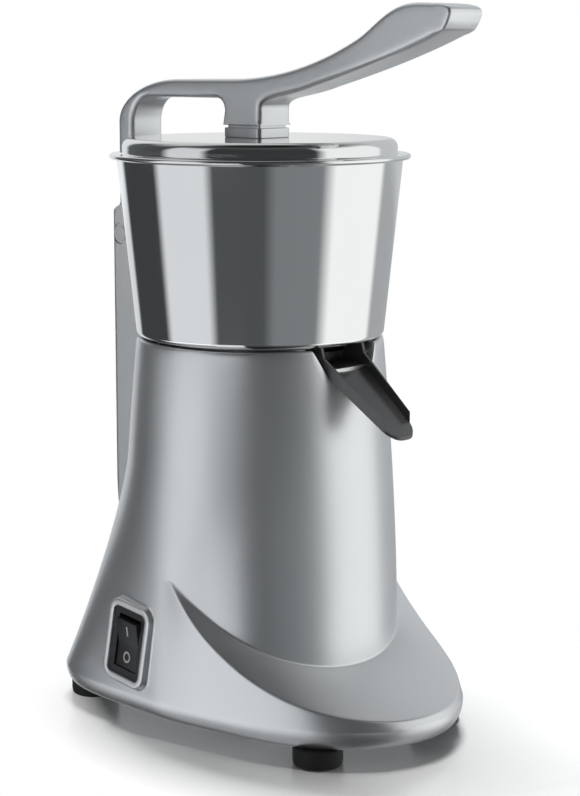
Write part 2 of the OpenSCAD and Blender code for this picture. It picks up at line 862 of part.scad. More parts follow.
module motor_bolts() {
    color(bright) placed() translate([0, 0, lower_shield_z - motor_head_h]) around(motor_bolt_at)
        screw(motor_bolt_r, deck_top - lower_shield_z, motor_head_r, motor_head_h);
}

module ball_bearing() {
    ring(shaft_r + run_gap, bearing_r, bearing_w);
}

module upper_bearing() {
    color(bright) placed() translate([0, 0, upper_shield_top - bearing_lip - bearing_w]) ball_bearing();
}

module lower_bearing() {
    color(bright) placed() translate([0, 0, lower_shield_z + bearing_lip]) ball_bearing();
}

module shaft_seal() {
    color(black) placed() translate([0, 0, deck_z - deck_hub_h])
        ring(shaft_r + run_gap, seal_r, deck_t + deck_hub_h);
}

// Bowl with rolled rim, chimney round the spindle and outlet over the chute
module bowl() {
    slope = (bowl_top_r - bowl_low_r) / bowl_h;
    corner = [bowl_low_r + (slope - 1) * bowl_round, bowl_z + bowl_round];
    outer = concat(
        arc(corner, bowl_round, -90, 0, 6),
        [[bowl_top_r, bowl_top - 2 * bead_r]],
        arc([bowl_top_r, bowl_top - bead_r], bead_r, -90, 90, 12)
    );
    inner = concat(
        [[bowl_top_r - bowl_t, bowl_top]],
        arc(corner, bowl_round - bowl_t, 0, -90, 6)
    );
    color(steel) placed() difference() {
        rotate_extrude() polygon(concat([[chimney_r - bowl_t, bowl_z]], outer, inner,
            [[chimney_r, bowl_floor], [chimney_r, chimney_top], [chimney_r - bowl_t, chimney_top]]));
        translate([-outlet_w / 2, -chute_knee - cut, bowl_z - cut])
            cube([outlet_w, chute_knee - chute_start - 2 * cut, bowl_t + 2 * cut]);
    }
}

// Perforated basket on a plain foot ring
module strainer() {
    color(steel) placed() difference() {
        rotate_extrude() polygon([
            [strainer_in, strainer_z], [strainer_foot_r, strainer_z], [strainer_foot_r, bowl_floor],
            [strainer_foot_r + strainer_t, bowl_floor], [strainer_foot_r + strainer_t, strainer_z],
            [strainer_r - strainer_slope, strainer_z], [strainer_r, strainer_z + strainer_h],
            [strainer_r - strainer_t, strainer_z + strainer_h],
            [strainer_r - strainer_slope - strainer_t, strainer_z + strainer_t],
            [strainer_in, strainer_z + strainer_t]
        ]);
        for (r = strainer_rows)
            for (i = [0:floor(r / 2) - 1])
                rotate(360 * i / floor(r / 2)) translate([r, 0, strainer_z - cut])
                    cylinder(r = strainer_hole_r, h = strainer_t + 2 * cut, $fn = 24);
        for (a = strainer_gates)
            rotate(a) translate([strainer_foot_r - 2, -strainer_gate_w / 2, bowl_floor - cut])
                cube([strainer_t + 4, strainer_gate_w, strainer_gate_h + cut]);
    }
}

// Open chute from the bowl's outlet to the lip, narrowing on the way
function chute_plan(inset, reach) = concat(
    [[spout_w / 2 - inset, inset - chute_start], [spout_w / 2 - inset, -chute_knee]],
    arc([lip_w / 2 - lip_round, lip_round - reach], lip_round - inset, 0, -90, 6),
    arc([lip_round - lip_w / 2, lip_round - reach], lip_round - inset, -90, -180, 6),
    [[inset - spout_w / 2, -chute_knee], [inset - spout_w / 2, inset - chute_start]]
);
module spout() {
    fall = (chute_knee_z - spout_low_z) / (spout_reach - chute_knee);
    shell = [
        [-chute_start, chute_start_z], [-chute_knee, chute_knee_z],
        [-spout_reach - cut, spout_low_z - cut * fall],
        [-spout_reach - cut, spout_low_z - cut * fall + spout_depth],
        [-chute_knee, chute_knee_z + spout_depth], [2 * cut - chute_knee, bowl_z], [-chute_start, bowl_z]
    ];
    channel = [
        [-chute_start, chute_start_z + spout_t], [-chute_knee, chute_knee_z + spout_t],
        [-spout_reach - lip_out, spout_low_z - lip_out * fall + spout_t],
        [-spout_reach - lip_out, bowl_z + cut], [-chute_start, bowl_z + cut]
    ];
    color(smoke) placed() difference() {
        intersection() {
            along_x(spout_w + 2) polygon(shell);
            linear_extrude(bowl_z + cut) polygon(chute_plan(0, spout_reach));
        }
        intersection() {
            along_x(spout_w + 2) polygon(channel);
            linear_extrude(bowl_z + 2 * cut) polygon(chute_plan(spout_t, spout_reach + lip_out));
        }
    }
}

// Shaft, stepped down to the spindle
module motor_shaft() {
    color(bright) placed() difference() {
        union() {
            cylinder_between(shaft_r, shaft_low, shaft_step_z);
            cylinder_between(spindle_r, shaft_step_z, spindle_top);
            cylinder_between(collar_r, lower_shield_z + bearing_lip + bearing_w + seat_gap, stator_z);
            cylinder_between(collar_r, stator_top, upper_shield_top - bearing_lip - bearing_w - seat_gap);
        }
        translate([0, 0, drive_pin_z]) rotate([0, 90, 0])
            cylinder(r = drive_pin_r, h = drive_pin_l, center = true);
    }
}

module motor_rotor() {
    color(bright) placed() translate([0, 0, stator_z]) ring(shaft_r, rotor_r, stator_l);
}

module cooling_fan() {
    color(black) placed() translate([0, 0, fan_z]) {
        ring(shaft_r, fan_hub_r, fan_h);
        for (i = [0:fan_blades - 1])
            rotate(360 * i / fan_blades) translate([fan_hub_r - cut, -fan_blade_t / 2, fan_disc_t])
                cube([fan_r - fan_hub_r + cut, fan_blade_t, fan_h - 2 * fan_disc_t]);
        translate([0, 0, fan_disc_t]) ring(fan_hub_r - cut, fan_r, fan_disc_t);
    }
}

module drive_pin() {
    color(bright) placed() translate([0, 0, drive_pin_z]) rotate([0, 90, 0])
        cylinder(r = drive_pin_r, h = drive_pin_l, center = true);
}

// Ribbed cone that the fruit is pressed on
module reamer() {
    skirt = [
        [0, 0], [reamer_r, 0], [reamer_r, 3], [reamer_r * 0.86, 12], [reamer_r * 0.66, reamer_h * 0.5],
        [reamer_r * 0.38, reamer_h * 0.8], [reamer_r * 0.12, reamer_h * 0.94], [0, reamer_h * 0.95]
    ];
    rib = [
        [0, 2], [reamer_r, 2], [reamer_r, 5], [reamer_r * 0.93, 14], [reamer_r * 0.76, reamer_h * 0.5],
        [reamer_r * 0.48, reamer_h * 0.82], [reamer_r * 0.16, reamer_h * 0.985], [0, reamer_h]
    ];
    color(white) placed() difference() {
        translate([0, 0, reamer_z]) {
            rotate_extrude() polygon(skirt);
            for (i = [0:reamer_ribs - 1])
                rotate(360 * i / reamer_ribs) translate([0, rib_t / 2, 0]) rotate([90, 0, 0])
                    linear_extrude(rib_t) polygon(rib);
        }
        cylinder_between(spindle_r, reamer_z - cut, spindle_top);
        translate([0, 0, drive_pin_z]) rotate([0, 90, 0])
            cylinder(r = drive_pin_r, h = drive_pin_l, center = true);
    }
}

// Side outline of the lever, from the leg over the bar to the handle's tip and back
function lever_outline() = concat(
    arc([pivot_y, pivot_z], eye_r, -180, 0, 24),
    [[leg_back, pivot_z + 2 * eye_r]],
    bend([leg_back, bar_z - elbow_drop], [leg_back, mix(bar_z - elbow_drop, bar_top, 0.55)],
        [leg_back - 0.45 * elbow_reach, bar_top], [leg_back - elbow_reach, bar_top], 12),
    bend(handle_root, handle_root + [-40, 1], handle_mid + [29, -13.5], handle_mid, 10),
    bend(handle_mid, handle_mid + [-15, 6.2], handle_crest + [22, 0], handle_crest, 10),
    bend(handle_crest, handle_crest - [14, 0],
        [1.2 - handle_reach, tip_z + 4], [-handle_reach, tip_z], 8),
    [tip_under],
    bend(tip_under, tip_under + [28, -12.2], handle_under + [-32, 8.2], handle_under, 14),
    bend(handle_under, handle_under + [25, -8], [boss_front, bar_z + 2], [boss_front, bar_z - 6], 8),
    [[boss_front, neck_top], [boss_back, neck_top]],
    arc([boss_back + neck_in, bar_z - neck_in], neck_in, 180, 90, 6),
    arc([leg_front - elbow_in, bar_z - elbow_in], elbow_in, 90, 0, 8),
    [[leg_front, pivot_z + 2 * eye_r]]
);

// Half widths of the lever along its length
module lever_plan() {
    half = [
        [lever_w / 2, pivot_y + eye_r + cut], [lever_w / 2, handle_start],
        each bend([lever_w / 2, handle_start], [lever_w / 2, handle_start - 36],
            [handle_w / 2, handle_full + 32], [handle_w / 2, handle_full], 8),
        each arc([handle_w / 2 - tip_round, tip_round - handle_reach], tip_round, 0, -90, 8)
    ];
    mirrored = [for (i = [len(half) - 1:-1:0]) [-half[i][0], half[i][1]]];
    polygon(concat(half, mirrored));
}

module lever_arm() {
    color(cast_paint) placed() difference() {
        intersection() {
            along_x(handle_w + 4) polygon(lever_outline());
            translate([0, 0, pivot_z - 2 * eye_r]) linear_extrude(lever_top_z) lever_plan();
        }
        translate([0, pivot_y, pivot_z]) rotate([0, 90, 0])
            cylinder(r = bush_r, h = lever_w + 2 * cut, center = true);
        cylinder_between(lid_bolt_r, neck_top - cut, neck_top + lid_bolt_bite);
    }
}

module pivot_bush() {
    color(bronze) placed() translate([0, pivot_y, pivot_z]) rotate([0, 90, 0])
        translate([0, 0, -lever_w / 2]) ring(bush_bore_r, bush_r, lever_w);
}

module lid_neck() {
    color(cast_paint) placed() translate([0, (boss_front + boss_back) / 2, lid_top]) difference() {
        linear_extrude(neck_h) polygon(rounded(lever_w, boss_back - boss_front, neck_round));
        translate([0, -(boss_front + boss_back) / 2, 0]) cylinder_between(lid_bolt_r, -cut, neck_h + cut);
    }
}

// Stepped lid, spun from sheet
module lid() {
    corner = [step_r - lid_round, lid_top - lid_round];
    color(steel) placed() rotate_extrude() polygon(concat(
        [[lid_bolt_r, lid_top]],
        arc(corner, lid_round, 90, 0, 8),
        [[step_r, flange_top]],
        arc([flange_r - lid_edge, flange_top - lid_edge], lid_edge, 90, -180, 14),
        [[flange_r - 2 * lid_edge, flange_z], [step_r - lid_t, flange_z]],
        arc(corner, lid_round - lid_t, 0, 90, 8),
        [[lid_bolt_r, lid_top - lid_t]]
    ));
}

// Dome under the lid that presses the fruit
module pressing_cup() {
    color(steel) placed() difference() {
        rotate_extrude() polygon(concat(
            [[lid_bolt_r, lid_top - lid_t], [lid_bolt_r, cup_top_z]],
            arc([0, cup_mid_z], cup_r, 84, 0, 24),
            arc([0, cup_mid_z], cup_r + cup_t, 0, 76, 24),
            [[cup_stem_r, cup_top_z + cup_t], [cup_stem_r, lid_top - lid_t]]
        ));
        cylinder_between(lid_bolt_head_r, cup_top_z - lid_bolt_head_h, cup_top_z);
    }
}

module lid_bolt() {
    color(bright) placed() translate([0, 0, cup_top_z - lid_bolt_head_h])
        screw(lid_bolt_r, neck_top + lid_bolt_bite - cup_top_z, lid_bolt_head_r, lid_bolt_head_h);
}

body_housing();
top_deck();
deck_screws();
base_plate();
base_screws();
rubber_feet();
rear_column();
column_bolts();
pivot_pin();
retaining_rings();
switch_housing();
cable_gland();
terminal_block();
capacitor();
capacitor_clip();
motor_stator();
stator_windings();
upper_shield();
lower_shield();
motor_spacers();
motor_bolts();
upper_bearing();
lower_bearing();
shaft_seal();
bowl();
strainer();
spout();
motor_shaft();
motor_rotor();
cooling_fan();
drive_pin();
reamer();
lever_arm();
lid_neck();
lid();
pressing_cup();
lid_bolt();
pivot_bush();
switch_rocker();
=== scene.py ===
import json
import math

import bmesh
import bpy
import numpy as np
from mathutils import Matrix, Vector
from mathutils.bvhtree import BVHTree
from mathutils.geometry import delaunay_2d_cdt


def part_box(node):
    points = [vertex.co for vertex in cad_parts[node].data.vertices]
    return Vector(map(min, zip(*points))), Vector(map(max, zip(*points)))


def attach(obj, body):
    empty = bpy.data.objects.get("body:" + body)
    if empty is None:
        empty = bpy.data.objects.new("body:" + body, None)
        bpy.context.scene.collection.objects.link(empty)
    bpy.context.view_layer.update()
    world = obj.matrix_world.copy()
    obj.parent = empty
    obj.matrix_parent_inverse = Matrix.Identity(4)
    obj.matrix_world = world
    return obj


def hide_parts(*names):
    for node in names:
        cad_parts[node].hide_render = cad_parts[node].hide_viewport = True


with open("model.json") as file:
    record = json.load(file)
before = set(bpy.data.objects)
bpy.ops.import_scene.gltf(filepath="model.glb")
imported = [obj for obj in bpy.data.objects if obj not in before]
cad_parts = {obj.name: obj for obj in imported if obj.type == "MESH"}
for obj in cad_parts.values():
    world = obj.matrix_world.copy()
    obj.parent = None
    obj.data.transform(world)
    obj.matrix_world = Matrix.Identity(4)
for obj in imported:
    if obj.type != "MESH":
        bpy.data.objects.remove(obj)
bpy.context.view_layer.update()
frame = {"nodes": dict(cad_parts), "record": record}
nodes = frame["nodes"]


def rotation(degrees, axis):
    return Matrix.Rotation(math.radians(degrees), 4, axis)


# Sizes in millimetres from the spin axis of bowl, reamer and motor; +Z up, front towards -Y
bowl_low, bowl_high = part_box("bowl")
SPIN_Y = 500 * (bowl_low.y + bowl_high.y)
SPIN_M = SPIN_Y / 1000
FOOT_H, FOOT_R = 12.0, 16.0
FOOT_PLACES = [(-57, -108, 0), (57, -108, 0), (-66, 96, 0), (66, 96, 0)]
FOOT_BORE_R, FOOT_SINK_R, HEAD_R, HEAD_H, HEAD_Z, SCREW_LENGTH = 2.5, 6, 5.4, 3, 5, 20
TOWER_TOP, TOWER_TOP_R, TOWER_LOW_R, TOWER_LOW_Z, TOWER_CURVE = 253.5, 81.5, 92.8, 60, 1.6
BASE_HALF_W, REAR_REACH, REAR_SQUARE, TOE_REACH, TOE_CURVE = 99.5, 119.0, 4.7, 57.0, 3.3
WALL, EDGE_ROUND, SKIRT_LOW_Z, PLATE_TOP = 4.0, 7.0, 25.0, 15.0
FLARE_Z, FLARE_CURVE, TOP_ROUND = 175.0, 1.5, 1.8
NOTCH_DEPTH, NOTCH_HALF_W, NOTCH_FLOOR_HALF_W = 24, 29, 5
CREST_LOW_Z, CREST_CURVE, CREASE_LOW_Z, CREASE_CURVE, CREASE_SOFT = 29.0, 2.2, 49.0, 2.1, 1.2
LEDGE_Z, LEDGE_TURN, LEDGE_SPREAD, TOE_FADE_FROM, TOE_FADE = 104.0, 82, 0.95, 65, 21
PAD_H, PAD_HALF_T, PAD_Y, PAD_Z, GLAND_Y, GLAND_Z = 133.5, 14.0, 80, 181.75, 118.5, 36
BOWL_Z, BOWL_TOP, BOWL_LOW_R, BOWL_TOP_R, BOWL_T = 254.5, 371.0, 81.5, 93.0, 1.2
BEAD_R, BOWL_ROUND, BOWL_BORE_R = 1.0, 4, 13.8
BOWL_FLOOR = BOWL_Z + BOWL_T
OUTLET_W, OUTLET_LONG, OUTLET_Y = 31.6, 16, -68.5
FLANGE_Z, FLANGE_TOP, FLANGE_R, FLANGE_ROLL = 371.4, 372.8, 98.0, 1.6
LID_TOP, LID_T, LID_BORE_R, STEP_R, STEP_ROUND = 382.8, 1.4, 4, 89.5, 6
NECK_TOP, NECK_HALF_H, WAIST_HALF_H, BAR_Z, BAR_TOP, LEVER_TOP = 390.8, 3.2, 3.9, 407.8, 419.8, 465.8
PIVOT_Y, PIVOT_Z, PIVOT_R, EYE_R, COLUMN_W = 117.0, 314.0, 7.0, 9.5, 40.0
LEG_T, LEVER_W, HANDLE_W, HANDLE_REACH = 15.0, 29.0, 31.0, 170.0
ELBOW_IN, ELBOW_DROP, ELBOW_REACH = 17.0, 17.4, 60.0
BOSS_FRONT, BOSS_BACK, BOSS_ROUND = -14.0, 19.7, 8
LEVER_EASE, BOSS_EASE, EYE_EASE, NOSE_EASE = 3.4, 0.7, 1.2, 2.0
REAMER_R, REAMER_H, REAMER_RIBS, REAMER_Z = 37.0, 58.0, 10, BOWL_FLOOR + 42
SOCKET_R, SOCKET_DEEP = 6.5, 34
STRAINER_H, STRAINER_Z, STRAINER_T, STRAINER_BORE_R = 52.0, BOWL_FLOOR + 14, 1.0, 18
LEG_R, BASKET_LOW_R, BASKET_RIM_R, PUNCH_R = 58.0, 62.0, 66.0, 2.0
CUP_R, CUP_T, CUP_NECK_R, CUP_SEAT_R = 44.0, 3.0, 10, 12.6
CUP_MID_Z = REAMER_Z + REAMER_H + 8 - CUP_R
SWITCH_W, SWITCH_H, SWITCH_RIM, SWITCH_ROUND, SWITCH_PROUD, SWITCH_DEEP = 30.0, 45.0, 5.0, 4.0, 4.5, 9
ROCKER_REACH, ROCKER_HALF_W, ROCKER_DISH, ROCKER_TILT = 16.5, 10.0, 2.2, 8
SWITCH = (Matrix.Translation((-97.3, 22.5, 58.0)) @ rotation(-90, "Z") @ rotation(90, "X")
          @ rotation(-5, "X") @ rotation(-6, "Z"))
ROCKER = SWITCH @ Matrix.Translation((0, 0, -4)) @ rotation(ROCKER_TILT, "X")

# Points this close in metres are one; a fill this wide in millimetres puts no points inside a plate
MEETING, NO_FILL = 2e-7, 300

# Camera at the photograph's place, in metres from the spin axis and in degrees
CAMERA_PLACE, CAMERA_DOWN, CAMERA_TURN = (-0.8839, -0.8839, 0.4356), 10.198, -45
SENSOR_MM, LENS_MM, SHIFT_X, SIGHT_END = 36, 86.28, 30 / 796, 50


def set_camera():
    lens = bpy.data.cameras.new("camera")
    lens.sensor_width = SENSOR_MM
    lens.lens = LENS_MM
    lens.shift_x = SHIFT_X
    lens.clip_end = SIGHT_END
    camera = linked(lens, "camera")
    x, y, z = CAMERA_PLACE
    camera.location = (x, y + SPIN_M, z)
    camera.rotation_euler = (math.radians(90 - CAMERA_DOWN), 0, math.radians(CAMERA_TURN))
    bpy.context.scene.camera = camera


# Small maker's tools
def share(v):
    return np.clip(v, 0, 1)


def ease(v):
    v = share(v)
    return v * v * (3 - 2 * v)


def mix(a, b, t):
    return a + (b - a) * t


def straight(p, q, count):
    """Points on a line from p to q."""
    return list(np.stack([np.linspace(p[k], q[k], count) for k in range(2)], 1))


def bend(p0, p1, p2, p3, count):
    """Points on a curve from p0 to p3, without p0."""
    t = np.linspace(0, 1, count + 1)[1:, None]
    s = 1 - t
    p0, p1, p2, p3 = (np.array(p, float) for p in (p0, p1, p2, p3))
    return list(s**3 * p0 + 3 * s * s * t * p1 + 3 * s * t * t * p2 + t**3 * p3)


def arc(centre, radius, start, stop, count):
    a = np.radians(np.linspace(start, stop, count + 1))
    return list(np.array(centre) + radius * np.stack([np.cos(a), np.sin(a)], 1))


def rounded(width, height, radius, steps=8, run=1):
    """A rectangle with round corners, counter-clockwise, its straight runs split."""
    x, y = width / 2 - radius, height / 2 - radius
    corners = [arc(middle, radius, start, start + 90, steps)
               for middle, start in (((x, y), 0), ((-x, y), 90), ((-x, -y), 180), ((x, -y), 270))]
    points = []
    for here, after in zip(corners, corners[1:] + corners[:1]):
        points += here
        points += [mix(here[-1], after[0], k / run) for k in range(1, run)]
    return np.array(points)


def linked(data, name):
    obj = bpy.data.objects.new(name, data)
    bpy.context.scene.collection.objects.link(obj)
    return obj


def raw_mesh(name, points, faces=()):
    """A mesh from points in metres, as they come."""
    mesh = bpy.data.meshes.new(name)
    mesh.from_pydata(points, [], faces)
    return mesh


def mesh_of(name, points, faces):
    """A mesh from points in metres, closed and pointing outwards."""
    mesh = raw_mesh(name, points.tolist(), [list(map(int, f)) for f in faces])
    bm = bmesh.new()
    bm.from_mesh(mesh)
    bmesh.ops.remove_doubles(bm, verts=bm.verts, dist=MEETING)
    bmesh.ops.recalc_face_normals(bm, faces=bm.faces)
    bm.to_mesh(mesh)
    bm.free()
    return mesh


def built(name, shape):
    """A piece from a shape in millimetres round the spin axis."""
    points, faces = shape
    places = (np.asarray(points, float) + (0, SPIN_Y, 0)) / 1000
    return linked(mesh_of(name, places, faces), name)


def thrown_away(obj):
    mesh = obj.data
    bpy.data.objects.remove(obj)
    bpy.data.meshes.remove(mesh)


def finished(obj, body, slot, stands_for=(), sharp=34, flats=False, finish=None):
    """Shading, finish and place of a piece; flats keeps wide faces flat between their eased edges."""
    obj.data.shade_smooth()
    obj.data.set_sharp_from_angle(angle=math.radians(sharp))
    if flats:
        level = obj.modifiers.new("flats", "WEIGHTED_NORMAL")
        level.keep_sharp = True
        plain(obj)
    obj.data.materials.clear()
    obj.data.materials.append(FINISHES[finish or slot])
    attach(obj, body)
    if stands_for:
        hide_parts(*stands_for)


def joined(*shapes):
    points, faces, count = [], [], 0
    for shape_points, shape_faces in shapes:
        points += [tuple(p) for p in shape_points]
        faces += [[i + count for i in f] for f in shape_faces]
        count += len(shape_points)
    return points, faces


def moved(shape, matrix):
    points, faces = shape
    return [tuple(matrix @ Vector(p)) for p in points], faces


def shifted(shape, x, y, z):
    points, faces = shape
    return [(p[0] + x, p[1] + y, p[2] + z) for p in points], faces


def on_axes(shape, order):
    """Swaps (u, v, w) of a shape for the object's x, y, z."""
    points, faces = shape
    return [tuple(p[i] for i in order) for p in points], faces


def loft(rings, closed_rows=True):
    """Quads through rings of equal count; closed_rows joins the last ring to the first."""
    n, m = len(rings[0]), len(rings)
    points = [tuple(p) for ring in rings for p in ring]
    faces = [(k * n + i, k * n + (i + 1) % n, (k + 1) % m * n + (i + 1) % n, (k + 1) % m * n + i)
             for k in range(m if closed_rows else m - 1) for i in range(n)]
    return points, faces


def turned(profile, count=192, closed=True):
    """A turned shape from (radius, height) pairs; a radius may also change round the turn."""
    a = np.linspace(0, 2 * np.pi, count, endpoint=False)
    rings = [np.stack([r * np.cos(a), r * np.sin(a), np.full(count, z)], 1) for r, z in profile]
    return loft(rings, closed)


def inside(points, outline):
    x, y = points[:, 0:1], points[:, 1:2]
    x0, y0 = outline[:, 0], outline[:, 1]
    x1, y1 = np.roll(x0, -1), np.roll(y0, -1)
    crosses = (y0 > y) != (y1 > y)
    with np.errstate(divide="ignore", invalid="ignore"):
        return np.sum(crosses & (x < (x1 - x0) * (y - y0) / (y1 - y0) + x0), 1) % 2 == 1


def even(half):
    """The same half thickness all over a slab."""
    return lambda points: np.full(len(points), half)


def unit(v):
    return v / np.linalg.norm(v, axis=1, keepdims=True)


def eased_rings(outline, half, ease_r, steps):
    """Rings from the edge of a slab to its flat, each with its half thickness."""
    step = unit(np.roll(outline, -1, 0) - outline)
    after = np.stack([step[:, 1], -step[:, 0]], 1)
    before = np.roll(after, 1, 0)
    out = unit(before + after)
    reach = 1 / np.maximum(0.4, np.sum(out * before, 1))
    rings = []
    for k in range(steps + 1):
        phi = math.pi / 2 * k / steps
        ring = outline - out * (ease_r * (1 - math.cos(phi)) * reach)[:, None]
        rings.append((ring, half(ring) - ease_r * (1 - math.sin(phi))))
    return rings


def filled(edge, fill, hole):
    """Points and triangles of a flat inside its edge, and how many points go round its hole."""
    n = len(edge)
    low, high = edge.min(0), edge.max(0)
    across, along = np.meshgrid(np.arange(low[0], high[0], fill), np.arange(low[1], high[1], fill))
    grid = np.stack([across, along], -1).reshape(-1, 2)
    grid = grid[inside(grid, edge)]
    apart = np.sqrt(((grid[:, None] - edge[None]) ** 2).sum(2)).min(1)
    grid = grid[apart > 0.55 * fill]
    ring_hole = np.zeros((0, 2))
    if hole:
        grid = grid[np.linalg.norm(grid - hole[0], axis=1) > hole[1] + 0.5 * fill]
        ring_hole = np.array(arc(hole[0], hole[1], 0, 360, 48)[:-1])
    flat = np.concatenate([edge, ring_hole, grid])
    h = len(ring_hole)
    links = [(i, (i + 1) % n) for i in range(n)] + [(n + i, n + (i + 1) % h) for i in range(h)]
    _, _, triangles, origin, _, _ = delaunay_2d_cdt([Vector(p) for p in flat], links, [], 0, 1e-6)
    named = [o[0] for o in origin]
    triangles = np.array([[named[i] for i in t] for t in triangles])
    middle = flat[triangles].mean(1)
    keep = inside(middle, edge)
    if hole:
        keep &= np.linalg.norm(middle - hole[0], axis=1) > hole[1] * 0.999
    return flat, triangles[keep], h


def slab(outline, half, ease_r, steps=5, fill=4.0, hole=None):
    """A plate with an outline in (u, v) and eased edges; half gives half its thickness."""
    outline = np.asarray(outline, float)
    n = len(outline)
    ease_r = np.broadcast_to(np.asarray(ease_r, float), (n,))
    rings = eased_rings(outline, half, ease_r, steps)
    flat, triangles, h = filled(rings[-1][0], fill, hole)
    w_flat = half(flat)
    points, faces = [], []
    for side in (1, -1):
        start = len(points)
        for ring, w in rings[:-1]:
            points += [(u, v, side * x) for (u, v), x in zip(ring, w)]
        cap = len(points)
        points += [(u, v, side * x) for (u, v), x in zip(flat, w_flat)]
        rows = [start + k * n for k in range(steps)] + [cap]
        for a, b in zip(rows[:-1], rows[1:]):
            faces += [(a + i, a + (i + 1) % n, b + (i + 1) % n, b + i) for i in range(n)]
        faces += [tuple(cap + i for i in t) for t in triangles]
    far = len(points) // 2
    bore = far - len(flat) + n
    for first, count in ((0, n), (bore, h)):
        around = [(first + i, first + (i + 1) % count) for i in range(count)]
        faces += [(a, b, far + b, far + a) for a, b in around]
    return points, faces


def plain(obj):
    """Turns a piece with live modifiers into a plain mesh."""
    bpy.context.view_layer.update()
    graph = bpy.context.evaluated_depsgraph_get()
    mesh = bpy.data.meshes.new_from_object(obj.evaluated_get(graph))
    obj.modifiers.clear()
    old = obj.data
    obj.data = mesh
    bpy.data.meshes.remove(old)


def cut_with(obj, tool):
    """Takes a tool out of a piece and throws the tool away."""
    boolean = obj.modifiers.new("cut", "BOOLEAN")
    boolean.operation = "DIFFERENCE"
    boolean.solver = "EXACT"
    boolean.object = tool
    plain(obj)
    thrown_away(tool)


def eased_copy(node, name, width):
    """A copy of a CAD node with its edges eased."""
    mesh = nodes[node].data.copy()
    mesh.name = name
    bm = bmesh.new()
    bm.from_mesh(mesh)
    bmesh.ops.remove_doubles(bm, verts=bm.verts, dist=10 * MEETING)
    bmesh.ops.dissolve_limit(bm, angle_limit=math.radians(0.6), verts=bm.verts, edges=bm.edges)
    corners = [e for e in bm.edges if e.is_manifold and e.calc_face_angle(0) > math.radians(40)]
    bmesh.ops.bevel(bm, geom=corners, offset=width / 1000, offset_type="OFFSET", segments=3, profile=0.5,
                    affect="EDGES", clamp_overlap=True)
    bm.to_mesh(mesh)
    bm.free()
    return linked(mesh, name)


# Shader nodes and groups shared by the finishes
PATCHES_PER_METRE, SHEENS_PER_METRE = 14.0, 22.0


def feed(tree, socket, value):
    """Gives a socket a number or a link."""
    if isinstance(value, (int, float)):
        socket.default_value = value
    else:
        tree.links.new(value, socket)


def given(node, **values):
    """Sets a node's inputs by their labels, with _ for each space."""
    for label, value in values.items():
        node.inputs[label.replace("_", " ")].default_value = value
    return node


def wire(tree, *pairs):
    for start, end in pairs:
        tree.links.new(start, end)


def group_of(name, inputs, outputs, kind="Shader"):
    tree = bpy.data.node_groups.new(name, kind + "NodeTree")
    for way, labels in (("INPUT", inputs), ("OUTPUT", outputs)):
        for label, sort in labels.items():
            tree.interface.new_socket(label, in_out=way, socket_type="NodeSocket" + sort)
    return tree, tree.nodes.new("NodeGroupInput"), tree.nodes.new("NodeGroupOutput")


def math_node(tree, operation, *values):
    node = tree.nodes.new("ShaderNodeMath")
    node.operation = operation
    for socket, value in zip(node.inputs, values):
        feed(tree, socket, value)
    return node.outputs[0]


def length_node(tree, x, y):
    """How far a flat step x, y leads."""
    squares = [math_node(tree, "MULTIPLY", v, v) for v in (x, y)]
    return math_node(tree, "SQRT", math_node(tree, "ADD", *squares))


def noise_node(tree, vector, scale, detail, roughness, dimensions="3D"):
    node = tree.nodes.new("ShaderNodeTexNoise")
    node.noise_dimensions = dimensions
    given(node, Detail=detail, Roughness=roughness)
    feed(tree, node.inputs["Scale"], scale)
    tree.links.new(vector, node.inputs["W" if dimensions == "1D" else "Vector"])
    return node.outputs["Fac"]


def range_node(tree, value, low, high, to_low, to_high):
    node = tree.nodes.new("ShaderNodeMapRange")
    labels = ("Value", "From Min", "From Max", "To Min", "To Max")
    for label, v in zip(labels, (value, low, high, to_low, to_high)):
        feed(tree, node.inputs[label], v)
    return node.outputs["Result"]


def place_axes(tree):
    """X, Y and Z of a surface's place in metres."""
    split = tree.nodes.new("ShaderNodeSeparateXYZ")
    tree.links.new(tree.nodes.new("ShaderNodeTexCoord").outputs["Object"], split.inputs[0])
    return split.outputs


def make_grain():
    """Fine grain of a sprayed or moulded skin, with slow changes of sheen."""
    tree, gin, gout = group_of("fine_grain", {"Place": "Vector", "Grains per metre": "Float"},
                               {"Height": "Float", "Patch": "Float"})
    fine = noise_node(tree, gin.outputs["Place"], gin.outputs["Grains per metre"], 2.0, 0.6)
    patch = noise_node(tree, gin.outputs["Place"], PATCHES_PER_METRE, 4.0, 0.55)
    wire(tree, (fine, gout.inputs["Height"]), (patch, gout.inputs["Patch"]))
    return tree


def make_spun():
    """Fine rings that spinning, turning or polishing leaves round the spin axis."""
    tree, gin, gout = group_of("spun_rings", {"Place": "Vector", "Rings per metre": "Float"},
                               {"Height": "Float", "Sheen": "Float"})
    split = tree.nodes.new("ShaderNodeSeparateXYZ")
    tree.links.new(gin.outputs["Place"], split.inputs[0])
    away = math_node(tree, "SUBTRACT", split.outputs["Y"], SPIN_M)
    radius = length_node(tree, split.outputs["X"], away)
    along = math_node(tree, "MULTIPLY", math_node(tree, "ADD", radius, split.outputs["Z"]),
                      gin.outputs["Rings per metre"])
    rings = noise_node(tree, along, 1.0, 3.0, 0.7, "1D")
    sheen = noise_node(tree, gin.outputs["Place"], SHEENS_PER_METRE, 3.0, 0.5)
    wire(tree, (rings, gout.inputs["Height"]), (sheen, gout.inputs["Sheen"]))
    return tree


GRAIN_GROUP, SPUN_GROUP = make_grain(), make_spun()


def new_material(name):
    material = bpy.data.materials.new(name)
    material.use_nodes = True
    return material, material.node_tree


